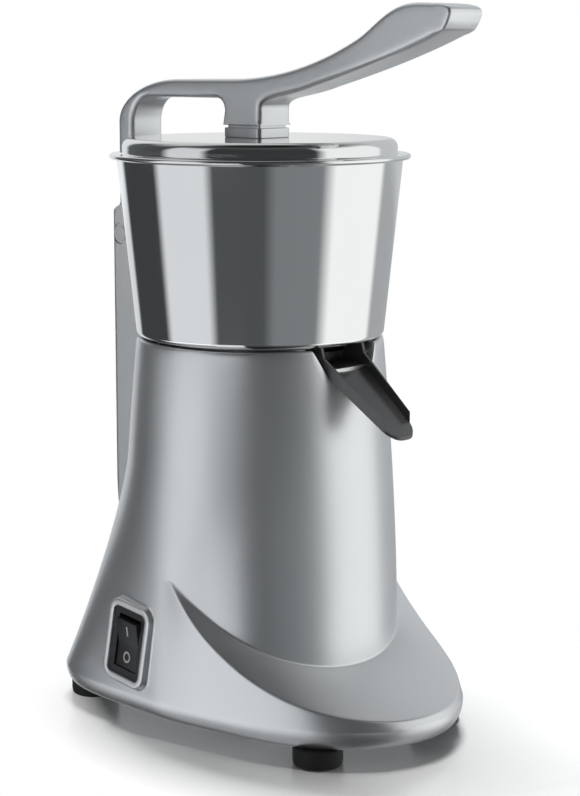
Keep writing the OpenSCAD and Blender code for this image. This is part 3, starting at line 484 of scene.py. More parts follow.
def finish_of(name, colour, metallic, roughness, coat=0.0, coat_roughness=0.1, specular=0.5):
    material, tree = new_material(name)
    material.diffuse_color = (*colour, 1)
    shader = given(tree.nodes["Principled BSDF"], Base_Color=(*colour, 1), Metallic=metallic,
                   Roughness=roughness, Coat_Weight=coat, Coat_Roughness=coat_roughness,
                   Specular_IOR_Level=specular)
    return material, tree, shader, tree.nodes.new("ShaderNodeTexCoord").outputs["Object"]


def placed_group(tree, group, place, **values):
    node = tree.nodes.new("ShaderNodeGroup")
    node.node_tree = group
    tree.links.new(place, node.inputs["Place"])
    return given(node, **values)


def worn(tree, shader, mask, colour, spread, roughness, sheen):
    """Lets colour and roughness drift a little with a mask."""
    ramp = tree.nodes.new("ShaderNodeMix")
    ramp.data_type = "RGBA"
    given(ramp, A=(*[c * (1 - spread) for c in colour], 1), B=(*[min(1, c * (1 + spread)) for c in colour], 1))
    drift = range_node(tree, mask, 0.25, 0.75, roughness - sheen, roughness + sheen)
    wire(tree, (mask, ramp.inputs["Factor"]), (ramp.outputs["Result"], shader.inputs["Base Color"]),
         (drift, shader.inputs["Roughness"]))


def relief(tree, shader, height, strength, distance):
    bump = given(tree.nodes.new("ShaderNodeBump"), Strength=strength, Distance=distance)
    wire(tree, (height, bump.inputs["Height"]), (bump.outputs["Normal"], shader.inputs["Normal"]))


def grained(name, colour, metallic, roughness, grains, depth, spread, sheen, *more):
    """A sprayed, cast or moulded finish."""
    material, tree, shader, place = finish_of(name, colour, metallic, roughness, *more)
    grain = placed_group(tree, GRAIN_GROUP, place, Grains_per_metre=grains)
    worn(tree, shader, grain.outputs["Patch"], colour, spread, roughness, sheen)
    relief(tree, shader, grain.outputs["Height"], 0.6, depth)
    return material


def spun(name, colour, roughness, rings, depth, spread, sheen):
    """Metal that was spun, turned or polished round its axis."""
    material, tree, shader, place = finish_of(name, colour, 1.0, roughness)
    marks = placed_group(tree, SPUN_GROUP, place, Rings_per_metre=rings)
    worn(tree, shader, marks.outputs["Sheen"], colour, spread, roughness, sheen)
    relief(tree, shader, marks.outputs["Height"], 0.5, depth)
    return material


# Colour, metallic, roughness, grains per metre, their depth in metres, drift of colour and of roughness;
# then, where they matter, coat, its roughness and the strength of the shine
GRAINED = {
    "silver_paint": ((0.78, 0.79, 0.80), 0.9, 0.36, 2600.0, 0.00004, 0.02, 0.03, 0.4, 0.12),
    "raw_casting": ((0.50, 0.50, 0.51), 0.9, 0.55, 900.0, 0.00025, 0.08, 0.1),
    "black_plastic": ((0.018, 0.018, 0.02), 0.0, 0.34, 2200.0, 0.00005, 0.1, 0.05),
    "black_rubber": ((0.022, 0.022, 0.023), 0.0, 0.68, 1500.0, 0.00012, 0.15, 0.08, 0.0, 0.1, 0.3),
    "smoked_plastic": ((0.07, 0.07, 0.072), 0.0, 0.24, 600.0, 0.00001, 0.08, 0.03, 0.0, 0.1, 0.95),
    "white_plastic": ((0.78, 0.77, 0.74), 0.0, 0.38, 1600.0, 0.00004, 0.02, 0.06),
    "mark_white": ((0.62, 0.62, 0.62), 0.0, 0.5, 3000.0, 0.00001, 0.04, 0.05),
}
# Colour, roughness, rings per metre, their depth in metres, drift of colour and of roughness
SPUN = {
    "polished_steel": ((0.83, 0.83, 0.825), 0.075, 1800.0, 0.000004, 0.02, 0.02),
    "machined_steel": ((0.62, 0.62, 0.63), 0.26, 1400.0, 0.00002, 0.02, 0.06),
    "laminated_steel": ((0.36, 0.36, 0.38), 0.42, 1000.0, 0.0001, 0.06, 0.08),
    "copper_wire": ((0.72, 0.36, 0.20), 0.32, 900.0, 0.0003, 0.08, 0.08),
    "bronze": ((0.58, 0.43, 0.22), 0.34, 1200.0, 0.00003, 0.05, 0.06),
}
FINISHES = {name: grained(name, *values) for name, values in GRAINED.items()}
FINISHES.update((name, spun(name, *values)) for name, values in SPUN.items())

# Studio in metres: white sweep, soft light, and a tent with dark flags that only gloss can see
WORLD_LIGHT = 0.1
# Centre offset, squeeze and radii of the ellipse past which the camera sees painted white instead of the floor
# and its shadow
FLOOR_HALF, FADE_X, FADE_Y, FADE_SQUEEZE, FADE_FROM, FADE_TO = 6.0, 0.057, -0.024, 1.15, 0.195, 0.25
TENT_R, TENT_MIDDLE, TENT_COUNT, TENT_ROWS = 3.0, 0.25, 96, 48
CARD_AWAY, CARD_LEFT, CARD_RIGHT, CARD_STEPS = 0.55, -44, -14, 16


def set_world():
    """White to the eye and to gloss, and only a faint light on the part."""
    world = bpy.data.worlds.new("studio")
    bpy.context.scene.world = world
    world.use_nodes = True
    tree = world.node_tree
    light = tree.nodes["Background"]
    path = tree.nodes.new("ShaderNodeLightPath").outputs
    seen = math_node(tree, "MAXIMUM", path["Is Camera Ray"], path["Is Glossy Ray"])
    seen = math_node(tree, "MAXIMUM", seen, path["Is Transmission Ray"])
    tree.links.new(range_node(tree, seen, 0.0, 1.0, WORLD_LIGHT, 1.0), light.inputs["Strength"])
    light.inputs["Color"].default_value = (1, 1, 1, 1)


def lit_by(name, place, aim, size, watts):
    lamp = bpy.data.lights.new(name, "AREA")
    lamp.size = size
    lamp.energy = watts
    obj = linked(lamp, name)
    obj.location = place
    obj.rotation_euler = (Vector(aim) - Vector(place)).to_track_quat("-Z", "Y").to_euler()
    obj.visible_glossy = obj.visible_camera = False


def lay_floor():
    """Pale glossy floor that takes the shadow; to the camera it turns into a plain white glow beyond an
    offset, squeezed ellipse, a painted white that cuts the cast shadow short.
    """
    corners = [(FLOOR_HALF * x, FLOOR_HALF * y, 0) for x, y in ((-1, -1), (1, -1), (1, 1), (-1, 1))]
    floor = linked(raw_mesh("floor", corners, [(0, 1, 2, 3)]), "floor")
    material, tree = new_material("pale_floor")
    shader = given(tree.nodes["Principled BSDF"], Base_Color=(0.95, 0.95, 0.95, 1), Metallic=0.12,
                   Roughness=0.2)
    axes = place_axes(tree)
    x = math_node(tree, "MULTIPLY", math_node(tree, "SUBTRACT", axes["X"], FADE_X), FADE_SQUEEZE)
    y = math_node(tree, "SUBTRACT", axes["Y"], FADE_Y)
    fade = range_node(tree, length_node(tree, x, y), FADE_FROM, FADE_TO, 0.0, 1.0)
    # Painted white: camera rays see a white glow in place of the shaded floor, which erases the outer part of
    # the cast shadow
    path = tree.nodes.new("ShaderNodeLightPath")
    away = math_node(tree, "MULTIPLY", fade, path.outputs["Is Camera Ray"])
    white = tree.nodes.new("ShaderNodeEmission")
    blend = tree.nodes.new("ShaderNodeMixShader")
    wire(tree, *zip((away, shader.outputs[0], white.outputs[0]), blend.inputs),
         (blend.outputs[0], tree.nodes["Material Output"].inputs["Surface"]))
    floor.data.materials.append(material)
    floor.visible_glossy = False


COOL, SOFT, PLAIN = (0.93, 1.0, 1.04), (0.965, 1.0, 1.03), (0.98, 1.0, 0.995)
# Degrees to the right of the camera, brightness and hue of the cloth, as bowl, paint, lid and lid top catch it
BOWL_BANDS = [(-180, 0.8, PLAIN), (-144, 0.75, SOFT), (-138, 0.055, COOL), (-94, 0.055, COOL),
              (-87, 0.79, SOFT), (-46, 0.79, SOFT), (-38, 0.09, COOL), (3, 0.09, COOL), (13, 0.225, COOL),
              (51, 0.235, COOL), (63, 1.06, PLAIN), (113, 1.06, PLAIN), (119, 0.43, SOFT), (172, 0.43, SOFT),
              (179, 0.8, PLAIN)]
PAINT_BANDS = [(-180, 0.95, PLAIN), (-146, 0.95, SOFT), (-138, 0.06, COOL), (-112, 0.07, COOL),
               (-96, 1.45, SOFT), (-28, 1.45, SOFT), (-14, 0.07, COOL), (8, 0.07, COOL), (48, 0.22, COOL),
               (60, 1.4, PLAIN), (113, 1.4, PLAIN), (119, 0.6, SOFT), (170, 0.6, SOFT), (178, 0.9, PLAIN)]
LID_BANDS = [(-180, 0.8, PLAIN), (-146, 0.8, SOFT), (-138, 0.12, COOL), (-88, 0.06, COOL), (-79, 0.72, SOFT),
             (-50, 0.72, SOFT), (-43, 0.04, COOL), (46, 0.045, COOL), (56, 1.0, PLAIN), (113, 1.0, PLAIN),
             (119, 0.6, SOFT), (170, 0.6, SOFT), (178, 0.8, PLAIN)]
ROOF_BANDS = [(-180, 0.6, PLAIN), (-120, 0.6, PLAIN), (-92, 0.07, COOL), (100, 0.07, COOL), (140, 0.35, PLAIN),
              (180, 0.6, PLAIN)]
TENT_BANDS = BOWL_BANDS, PAINT_BANDS, LID_BANDS, ROOF_BANDS


def band_ramp(tree, turn, bands):
    ramp = tree.nodes.new("ShaderNodeValToRGB")
    stops = ramp.color_ramp.elements
    while len(stops) < len(bands):
        stops.new(0.5)
    for stop, (angle, level, hue) in zip(stops, bands):
        stop.position = (angle + 180) / 360
        stop.color = (*[level * c for c in hue], 1)
    tree.links.new(turn, ramp.inputs["Fac"])
    return ramp.outputs["Color"]


def blended(tree, factor, a, b):
    node = tree.nodes.new("ShaderNodeMix")
    node.data_type = "RGBA"
    wire(tree, (factor, node.inputs[0]), (a, node.inputs[6]), (b, node.inputs[7]))
    return node.outputs[2]


def glowing(obj, name):
    """Gives a cloth or card its own glow, seen by gloss alone."""
    material, tree = new_material(name)
    tree.nodes.remove(tree.nodes["Principled BSDF"])
    glow = tree.nodes.new("ShaderNodeEmission")
    tree.links.new(glow.outputs[0], tree.nodes["Material Output"].inputs["Surface"])
    obj.data.materials.append(material)
    obj.visible_camera = obj.visible_diffuse = obj.visible_transmission = obj.visible_shadow = False
    return tree, glow


def stand_card(name, low, high, strength):
    """A white card in front, at a height where only the painted body catches it."""
    right, near = Vector((1, -1, 0)).normalized(), Vector((-1, -1, 0)).normalized()
    points = []
    for a in np.radians(np.linspace(CARD_LEFT, CARD_RIGHT, CARD_STEPS)):
        place = (right * math.sin(a) + near * math.cos(a)) * CARD_AWAY
        points += [(place.x, place.y + SPIN_M, z) for z in (low, high)]
    faces = [(2 * k, 2 * k + 1, 2 * k + 3, 2 * k + 2) for k in range(CARD_STEPS - 1)]
    _, glow = glowing(linked(raw_mesh(name, points, faces), name), name + "_white")
    given(glow, Color=(*SOFT, 1), Strength=strength)


def raise_tent():
    """A round tent: white cloth with dark flags, and a dark roof."""
    polar = np.linspace(0, np.pi, TENT_ROWS + 1)
    profile = [(TENT_R * math.sin(p), TENT_R * math.cos(p)) for p in polar]
    shape = shifted(turned(profile, TENT_COUNT, False), 0, SPIN_M, TENT_MIDDLE)
    tree, glow = glowing(linked(raw_mesh("tent", *shape), "tent"), "tent_cloth")
    axes = place_axes(tree)
    y = math_node(tree, "SUBTRACT", axes["Y"], SPIN_M)
    right = math_node(tree, "SUBTRACT", axes["X"], y)
    near = math_node(tree, "MULTIPLY", math_node(tree, "ADD", axes["X"], y), -1.0)
    turn = range_node(tree, math_node(tree, "ARCTAN2", right, near), -math.pi, math.pi, 0.0, 1.0)

    def over(low, high, start=0.0, end=1.0):
        """A change of level between two heights, given in degrees above the horizon."""
        z = [TENT_MIDDLE + TENT_R * math.sin(math.radians(e)) for e in (low, high)]
        return range_node(tree, axes["Z"], *z, start, end)

    bowl, paint, lid, roof = (band_ramp(tree, turn, bands) for bands in TENT_BANDS)
    bands = blended(tree, over(-25, -22), paint, bowl)
    bands = blended(tree, over(-6, -4), bands, paint)
    bands = blended(tree, over(-2.4, -1.8), bands, lid)
    bands = blended(tree, over(36, 54), bands, roof)
    level = math_node(tree, "MULTIPLY", over(-40, -25, 0.25, 1.0), over(64, 76, 1.0, 0.12))
    wire(tree, (bands, glow.inputs["Color"]), (level, glow.inputs["Strength"]))


set_camera()
set_world()
lit_by("key_softbox", (0.21, 0.23, 2.0), (0, 0, 0.1), 0.75, 50)
lit_by("fill_softbox", (-1.2, -1.3, 1.5), (0, 0, 0.2), 1.6, 2)
lay_floor()
raise_tent()
stand_card("low_card", -0.25, 0.065, 0.9)
stand_card("high_card", 0.275, 0.335, 1.6)


# Cast body: round tower, toe with its ledge, flared base
def tower_r(z):
    rise = share((z - TOWER_LOW_Z) / (TOWER_TOP - TOWER_LOW_Z))
    return TOWER_LOW_R - (TOWER_LOW_R - TOWER_TOP_R) * rise**TOWER_CURVE


def base_r(a):
    c, s = math.cos(a), abs(math.sin(a))
    if c > 0:
        return BASE_HALF_W + TOE_REACH * c**TOE_CURVE
    return ((s / BASE_HALF_W) ** REAR_SQUARE + (abs(c) / REAR_REACH) ** REAR_SQUARE) ** (-1 / REAR_SQUARE)


def flare(z):
    return share((FLARE_Z - z) / (FLARE_Z - SKIRT_LOW_Z)) ** FLARE_CURVE


def notch_top():
    """Height of the tower's top edge over the sideways place: the spout's notch dips into it."""
    top, low = TOWER_TOP, TOWER_TOP - NOTCH_DEPTH
    start = (NOTCH_HALF_W, top)
    curve = [start] + bend(start, (21.5, top - 12), (18.5, low), (NOTCH_FLOOR_HALF_W, low), 60)
    curve = np.array(curve)[::-1]
    return lambda x: np.interp(abs(x), curve[:, 0], curve[:, 1], left=low, right=top)


NOTCH_TOP = notch_top()


def steps_along(line):
    return np.r_[0, np.cumsum(np.linalg.norm(np.diff(line, axis=0), axis=1))]


def spaced(line, start, stop, count):
    """Points of a dense line, evenly between two lengths along it."""
    steps, lengths = steps_along(line), np.linspace(start, stop, count)
    return np.stack([np.interp(lengths, steps, line[:, k]) for k in range(2)], 1)


def corner(p, q, s):
    """Points that round the corner q between p and s."""
    k = np.linspace(0, 1, 7)[1:-1, None]
    return (1 - k) ** 2 * p + 2 * k * (1 - k) * q + k * k * s


def body_column(a, inset=0.0, rows=(44, 14, 16, 10)):
    """Radius and height down one side of the skin, its crease and crest softened."""
    g = abs(math.degrees(math.atan2(math.sin(a), math.cos(a))))
    toe = 1 - ease((g - TOE_FADE_FROM) / TOE_FADE)
    lift = share(g / LEDGE_TURN)
    crest = CREST_LOW_Z + (LEDGE_Z - CREST_LOW_Z) * lift**CREST_CURVE
    crease = CREASE_LOW_Z + (LEDGE_Z + 2 - CREASE_LOW_Z) * lift**CREASE_CURVE
    foot = base_r(a)
    top = NOTCH_TOP(TOWER_TOP_R * math.sin(a)) if math.cos(a) > 0 else TOWER_TOP
    t = np.linspace(0, 1, 160)

    def line(z, spread):
        return np.stack([mix(tower_r(z), foot, spread) - inset, z], 1)

    z = mix(top, crease - inset, t)
    upper = line(z, flare(z) * (1 - toe))
    z = mix(crease, crest, t) - inset
    ledge = line(z, mix(flare(z), LEDGE_SPREAD * t**1.05, toe))
    z = mix(crest, SKIRT_LOW_Z, t) - inset
    skirt = line(z, mix(flare(z), mix(LEDGE_SPREAD, 1, t), toe))
    upper_end, ledge_end, skirt_end = (steps_along(part)[-1] for part in (upper, ledge, skirt))
    soft = min(CREASE_SOFT, 0.3 * ledge_end)
    above = spaced(upper, 0, upper_end - soft, rows[0])
    on_ledge = spaced(ledge, soft, ledge_end - soft, rows[1])
    below = spaced(skirt, soft, skirt_end, rows[2])
    parts = [above, corner(above[-1], upper[-1], on_ledge[0]), on_ledge,
             corner(on_ledge[-1], ledge[-1], below[0]), below]
    if rows[3]:
        k = np.sin(np.linspace(0, np.pi / 2, rows[3] + 1))[1:]
        round_r = foot - EDGE_ROUND * (1 - np.sqrt(1 - 0.98 * k * k))
        parts.append(np.stack([round_r, mix(SKIRT_LOW_Z, FOOT_H, k)], 1))
    return np.concatenate(parts)


def body_skin():
    """The hollow casting, with a finer split where the notch is."""
    turns = np.radians(np.r_[np.arange(-24, 24, 0.6), np.linspace(24, 336, 250, endpoint=False)])
    rows = []
    for a in turns:
        outer = body_column(a)
        inner = body_column(a, WALL, (16, 5, 7, 0))[::-1]
        lip_r = base_r(a) - WALL - EDGE_ROUND
        outer[0] += (-TOP_ROUND, 0)
        top_round = outer[0] + np.array([(0.9, -0.25), (1.5, -0.9), (TOP_ROUND, -1.9)])
        lip = [(lip_r, FOOT_H), (lip_r, PLATE_TOP)]
        column = np.concatenate([outer[:1], top_round, outer[1:], lip, inner])
        rows.append(np.stack([column[:, 0] * math.sin(a), -column[:, 0] * math.cos(a), column[:, 1]], 1))
    return loft(list(np.array(rows).transpose(1, 0, 2)))


def switch_frame(skin):
    """Raised frame round the switch, its foot laid on the skin with a small fillet."""
    tree = BVHTree.FromPolygons([Vector(p) for p in skin[0]], skin[1])
    edge = rounded(SWITCH_W, SWITCH_H, SWITCH_ROUND, 10, 10)
    out = rounded(SWITCH_W + 2, SWITCH_H + 2, SWITCH_ROUND + 1, 10, 10) - edge
    away = -(SWITCH.to_3x3() @ Vector((0, 0, 1)))
    start_h, inner_r, outer_r = 30, 1.1, 1.9

    def skin_height(p):
        return start_h - tree.ray_cast(SWITCH @ Vector((p[0], p[1], start_h)), away)[3]

    profile = [(0, -SWITCH_DEEP), (0, SWITCH_PROUD - inner_r)]
    profile += arc((inner_r, SWITCH_PROUD - inner_r), inner_r, 150, 90, 2)
    profile += arc((SWITCH_RIM - outer_r, SWITCH_PROUD - outer_r), outer_r, 90, 0, 5)
    rings = [[(*(e + n * o), z) for e, n in zip(edge, out)] for o, z in profile]
    for o, up in ((5.25, 1.5), (5.55, 0.8), (6.1, 0.25), (7.0, 0.0), (7.0, -2.0)):
        ring = [e + n * o for e, n in zip(edge, out)]
        rings.append([(*p, skin_height(p) + up) for p in ring])
    rings.append([(*(e + n * SWITCH_RIM), -SWITCH_DEEP) for e, n in zip(edge, out)])
    return moved(loft(rings), SWITCH)


def make_body():
    skin = body_skin()
    obj = built("cast_body", skin)
    window = slab(rounded(SWITCH_W, SWITCH_H, SWITCH_ROUND, 8), even(20.0), 0.1, 1, NO_FILL)
    cut_with(obj, built("cutter", moved(window, SWITCH)))
    pad = slab(rounded(COLUMN_W, PAD_H, 1.5, 4), even(PAD_HALF_T), 0.6, 3, NO_FILL)
    pad = shifted(on_axes(pad, (0, 2, 1)), 0, PAD_Y, PAD_Z)
    boss = turned([(8.0, 0), (12.2, 0), (12.8, 0.3), (13.0, 0.9), (13.0, 14), (8.0, 14)], 64)
    boss = [(p[0], GLAND_Y - p[2], GLAND_Z + p[1]) for p in boss[0]], boss[1]
    ledge = turned([(68.6, 234.5), (79.5, 234.5), (79.5, 240.5), (68.6, 240.5)], 128)
    more = built("cast_body_more", joined(switch_frame(skin), pad, boss, ledge))
    bm = bmesh.new()
    bm.from_mesh(obj.data)
    bm.from_mesh(more.data)
    bm.to_mesh(obj.data)
    bm.free()
    thrown_away(more)
    finished(obj, "base", "silver_paint", ["body_housing"])


# Sheet steel: bowl with rolled rim, stepped lid
def make_bowl():
    slope = (BOWL_TOP_R - BOWL_LOW_R) / (BOWL_TOP - BOWL_Z)
    turn = (BOWL_LOW_R + (slope - 1) * BOWL_ROUND, BOWL_Z + BOWL_ROUND)
    bead = (BOWL_TOP_R, BOWL_TOP - BEAD_R)
    low_r = turn[0] + BOWL_ROUND
    profile = [(BOWL_BORE_R, BOWL_Z), (40, BOWL_Z), (62, BOWL_Z)] + arc(turn, BOWL_ROUND, -90, 0, 8)[:-1]
    profile += straight((low_r, turn[1]), (BOWL_TOP_R, BOWL_TOP - 2 * BEAD_R), 25)
    profile += arc(bead, BEAD_R, -80, 96, 14)
    profile += straight((BOWL_TOP_R - BOWL_T, BOWL_TOP - 0.2), (low_r - BOWL_T, turn[1]), 13)
    profile += arc(turn, BOWL_ROUND - BOWL_T, 0, -90, 6)[1:]
    neck = [(62, 0), (40, 0), (16.2, 0), (15.3, 0.4), (15.0, 1.2), (15.0, 27.4), (14.8, 27.85), (14.4, 28),
            (BOWL_BORE_R, 28)]
    profile += [(r, BOWL_FLOOR + z) for r, z in neck]
    obj = built("steel_bowl", turned(profile, 240))
    outlet = slab(rounded(OUTLET_W, OUTLET_LONG, 2, 4), even(4.0), 0.05, 1, NO_FILL)
    cut_with(obj, built("cutter", shifted(outlet, 0, OUTLET_Y, BOWL_Z + BOWL_T / 2)))
    finished(obj, "base", "polished_steel", ["bowl"])


def make_lid():
    turn, under, inner_r = (STEP_R - STEP_ROUND, LID_TOP - STEP_ROUND), LID_TOP - LID_T, STEP_R - LID_T
    profile = [(r, LID_TOP) for r in (LID_BORE_R, 20, 40, 60, 76)] + arc(turn, STEP_ROUND, 90, 0, 16)
    profile += straight((STEP_R, LID_TOP - STEP_ROUND - 0.6), (STEP_R, FLANGE_TOP + 1.6), 4)
    profile += arc((STEP_R + 1.2, FLANGE_TOP + 1.2), 1.2, 180, 270, 5) + [(FLANGE_R - 3.6, FLANGE_TOP)]
    profile += arc((FLANGE_R - FLANGE_ROLL, FLANGE_TOP - FLANGE_ROLL), FLANGE_ROLL, 90, -180, 20)
    profile += [(FLANGE_R - 3.3, FLANGE_Z), (inner_r + 0.8, FLANGE_Z), (inner_r + 0.2, FLANGE_Z + 0.2),
                (inner_r, FLANGE_Z + 0.8)]
    profile += arc(turn, STEP_ROUND - LID_T, 0, 90, 8) + [(r, under) for r in (60, 40, LID_BORE_R)]
    finished(built("stepped_lid", turned(profile, 240)), "lever", "polished_steel", ["lid"])


# Cast lever: rear leg, bar over the lid, boss, upswept handle
def lever_half(points):
    """Half the lever's width, which grows a little towards the handle."""
    start, narrow, wide = (LEVER_W / 2, -24.0), LEVER_W / 2, HANDLE_W / 2
    path = np.array([start] + bend(start, (narrow, -60), (wide, -80), (wide, -112), 30))
    return np.interp(-points[:, 0], -path[:, 1], path[:, 0])


def lever_outline():
    """Side view of the lever in y and z: from the eye up the back, along the top and back below."""
    back, front = PIVOT_Y + LEG_T / 2, PIVOT_Y - LEG_T / 2
    eye_back, eye_front, eye_top, elbow = PIVOT_Y + EYE_R, PIVOT_Y - EYE_R, PIVOT_Z + 19, BAR_Z - ELBOW_DROP
    root, under = np.array((10, BAR_TOP + 0.5)), np.array((-60, BAR_Z + 8.5))
    mid, crest = np.array((-94, mix(BAR_TOP, LEVER_TOP, 0.53))), np.array((-142, LEVER_TOP))
    tip = np.array((-HANDLE_REACH, LEVER_TOP - 6.3))
    tip_low = np.array((5.0 - HANDLE_REACH, LEVER_TOP - 16.0))
    outline = arc((PIVOT_Y, PIVOT_Z), EYE_R, -180, 0, 30)
    outline += bend((eye_back, PIVOT_Z), (eye_back, PIVOT_Z + 8), (back, PIVOT_Z + 11), (back, eye_top), 6)
    outline += straight((back, PIVOT_Z + 21), (back, elbow - 2), 10) + [np.array((back, elbow))]
    outline += bend((back, elbow), (back, mix(elbow, BAR_TOP, 0.55)),
                    (back - 0.45 * ELBOW_REACH, BAR_TOP), (back - ELBOW_REACH, BAR_TOP), 26)
    outline += straight((back - ELBOW_REACH, BAR_TOP), root, 14)[1:]
    outline += bend(root, root + (-40, 1), mid + (29, -13.5), mid, 26)
    outline += bend(mid, mid + (-15, 6.2), crest + (22, 0), crest, 22)
    outline += bend(crest, crest - (14, 0), tip + (1.0, 5.2), tip + (0.35, 1.6), 14)
    outline += bend(tip + (0.35, 1.6), tip + (0.05, 0.6), tip + (0.2, -0.6), tip + (0.65, -1.8), 5)
    outline += [mix(tip, tip_low, t) - (bulge, 0)
                for t, bulge in ((0.3, 0.35), (0.42, 0.46), (0.54, 0.46), (0.68, 0.32))]
    outline += bend(mix(tip, tip_low, 0.84), tip_low + (-0.2, 0.5), tip_low + (0.5, -0.2),
                    tip_low + (2.2, -0.9), 6)
    outline += bend(tip_low + (2.2, -0.9), tip_low + (30, -12.8), under + (-32, 8.2), under, 34)
    outline += bend(under, under + (25, -8), (BOSS_FRONT, BAR_Z + 2), (BOSS_FRONT, BAR_Z - 6), 18)
    outline += straight((BOSS_FRONT, BAR_Z - 8), (BOSS_FRONT, NECK_TOP), 6)
    outline += straight((BOSS_FRONT, NECK_TOP), (BOSS_BACK, NECK_TOP), 12)[1:]
    outline += arc((BOSS_BACK + BOSS_ROUND, BAR_Z - BOSS_ROUND), BOSS_ROUND, 180, 90, 10)
    outline += straight((BOSS_BACK + BOSS_ROUND + 3, BAR_Z), (front - ELBOW_IN - 3, BAR_Z), 10)
    outline += arc((front - ELBOW_IN, BAR_Z - ELBOW_IN), ELBOW_IN, 90, 0, 16)
    outline += straight((front, BAR_Z - ELBOW_IN - 3), (front, eye_top), 10)
    outline += bend((front, eye_top), (front, PIVOT_Z + 11), (eye_front, PIVOT_Z + 8),
                    (eye_front, PIVOT_Z + 1), 6)
    outline = np.array(outline)
    return outline[np.linalg.norm(outline - np.roll(outline, 1, 0), axis=1) > 1e-4]


def make_lever():
    outline = lever_outline()
    y, z = outline.T
    ease_r = np.full(len(outline), LEVER_EASE)
    ease_r[(z < NECK_TOP + 0.1) & (y < 30) & (y > -20)] = BOSS_EASE
    ease_r[z < PIVOT_Z + 21] = EYE_EASE
    ease_r[y < 12 - HANDLE_REACH] = NOSE_EASE
    shape = slab(outline, lever_half, ease_r, 6, 3.0, (np.array((PIVOT_Y, PIVOT_Z)), PIVOT_R))
    obj = built("cast_lever", on_axes(shape, (2, 0, 1)))
    finished(obj, "lever", "silver_paint", ["lever_arm"], 40)


def make_neck():
    """Block on the lid, with a waist that shows as a joint below the lever's boss."""
    long, middle = BOSS_BACK - BOSS_FRONT, (BOSS_FRONT + BOSS_BACK) / 2
    block = slab(rounded(LEVER_W, long, 3, 8, 4), even(NECK_HALF_H), 0.7, 4, 6)
    waist = slab(rounded(LEVER_W - 4, long - 4, 1.5, 8, 4), even(WAIST_HALF_H), 0.1, 1, 6)
    shape = joined(shifted(block, 0, middle, LID_TOP + NECK_HALF_H),
                   shifted(waist, 0, middle, LID_TOP + 0.1 + WAIST_HALF_H))
    finished(built("lid_block", shape), "lever", "silver_paint", ["lid_neck"])


def make_eased():
    """Column, chute and switch insert: the CAD's shapes with eased edges."""
    for node, name, width, slot in (("rear_column", "hinge_column", 1.2, "silver_paint"),
                                    ("spout", "juice_chute", 0.7, "smoked_plastic"),
                                    ("switch_housing", "switch_insert", 0.5, "black_plastic")):
        finished(eased_copy(node, name, width), "base", slot, [node], flats=True)


# Rocker switch
def rocker_face(v):
    """Height of the rocker's dished face over the place along it."""
    middle = 8 - ROCKER_REACH * math.tan(math.radians(ROCKER_TILT))
    return middle + ROCKER_DISH * (np.abs(v) / ROCKER_REACH) ** 1.25


def make_rocker():
    reach, low, corner_h = ROCKER_REACH, -3.0, rocker_face(ROCKER_REACH) - 1.5
    outline = straight((-reach, corner_h), (-reach, low), 5) + straight((-14, low), (14, low), 15)
    outline += straight((reach, low), (reach, corner_h), 5)
    outline += [np.array((v, rocker_face(v))) for v in np.linspace(reach, -reach, 33)]
    cap = slab(outline, even(ROCKER_HALF_W), 0.7, 4, 3.0)
    axle = turned([(0, -12.5), (1.8, -12.5), (1.8, 12.5), (0, 12.5)], 32, False)
    shape = joined(*(moved(on_axes(s, (2, 0, 1)), ROCKER) for s in (cap, axle)))
    finished(built("switch_rocker_cap", shape), "rocker", "black_plastic", ["switch_rocker"])


def make_marks():
    """I and O, laid into the rocker's face."""
    proud, deep, count = 0.12, 0.2, 40
    bar = [(u, v) for v in np.linspace(5.6, 12.4, 9) for u in (-0.65, 0.65)]
    bar_faces = [(2 * k, 2 * k + 1, 2 * k + 3, 2 * k + 2) for k in range(8)]
    turns = np.linspace(0, 2 * np.pi, count, endpoint=False)
    ring = [(r * math.cos(a), -9 + 1.15 * r * math.sin(a)) for r in (2.2, 3.3) for a in turns]
    ring_faces = [(k, (k + 1) % count, count + (k + 1) % count, count + k) for k in range(count)]
    flat, faces = joined((bar, bar_faces), (ring, ring_faces))
    n = len(flat)
    points = [(u, v, rocker_face(v) + up) for up in (proud, -deep) for u, v in flat]
    sides = {}
    for f in faces:
        for a, b in zip(f, f[1:] + f[:1]):
            sides[frozenset((a, b))] = None if frozenset((a, b)) in sides else (a, b)
    walls = [(a, b, b + n, a + n) for pair in sides.values() if pair for a, b in [pair]]
    marks = (points, faces + [tuple(i + n for i in f[::-1]) for f in faces] + walls)
    finished(built("switch_marks", moved(marks, ROCKER)), "rocker", "white_plastic", finish="mark_white")


# What repeats: one tree sets a shape out on given places
def make_set_out():
    inputs = {"Places": "Geometry", "Shape": "Object", "Finish": "Material"}
    tree, gin, gout = group_of("set_out", inputs, {"Pieces": "Geometry"}, "Geometry")
    info = tree.nodes.new("GeometryNodeObjectInfo")
    spread = tree.nodes.new("GeometryNodeInstanceOnPoints")
    real = tree.nodes.new("GeometryNodeRealizeInstances")
    dressed = tree.nodes.new("GeometryNodeSetMaterial")
    wire(tree, (gin.outputs["Shape"], info.inputs["Object"]), (gin.outputs["Places"], spread.inputs["Points"]),
         (info.outputs["Geometry"], spread.inputs["Instance"]),
         (spread.outputs["Instances"], real.inputs["Geometry"]),
         (real.outputs["Geometry"], dressed.inputs["Geometry"]),
         (gin.outputs["Finish"], dressed.inputs["Material"]),
         (dressed.outputs["Geometry"], gout.inputs["Pieces"]))
    return tree


SET_OUT = make_set_out()


def socket_id(label):
    return next(s.identifier for s in SET_OUT.interface.items_tree if s.name == label)


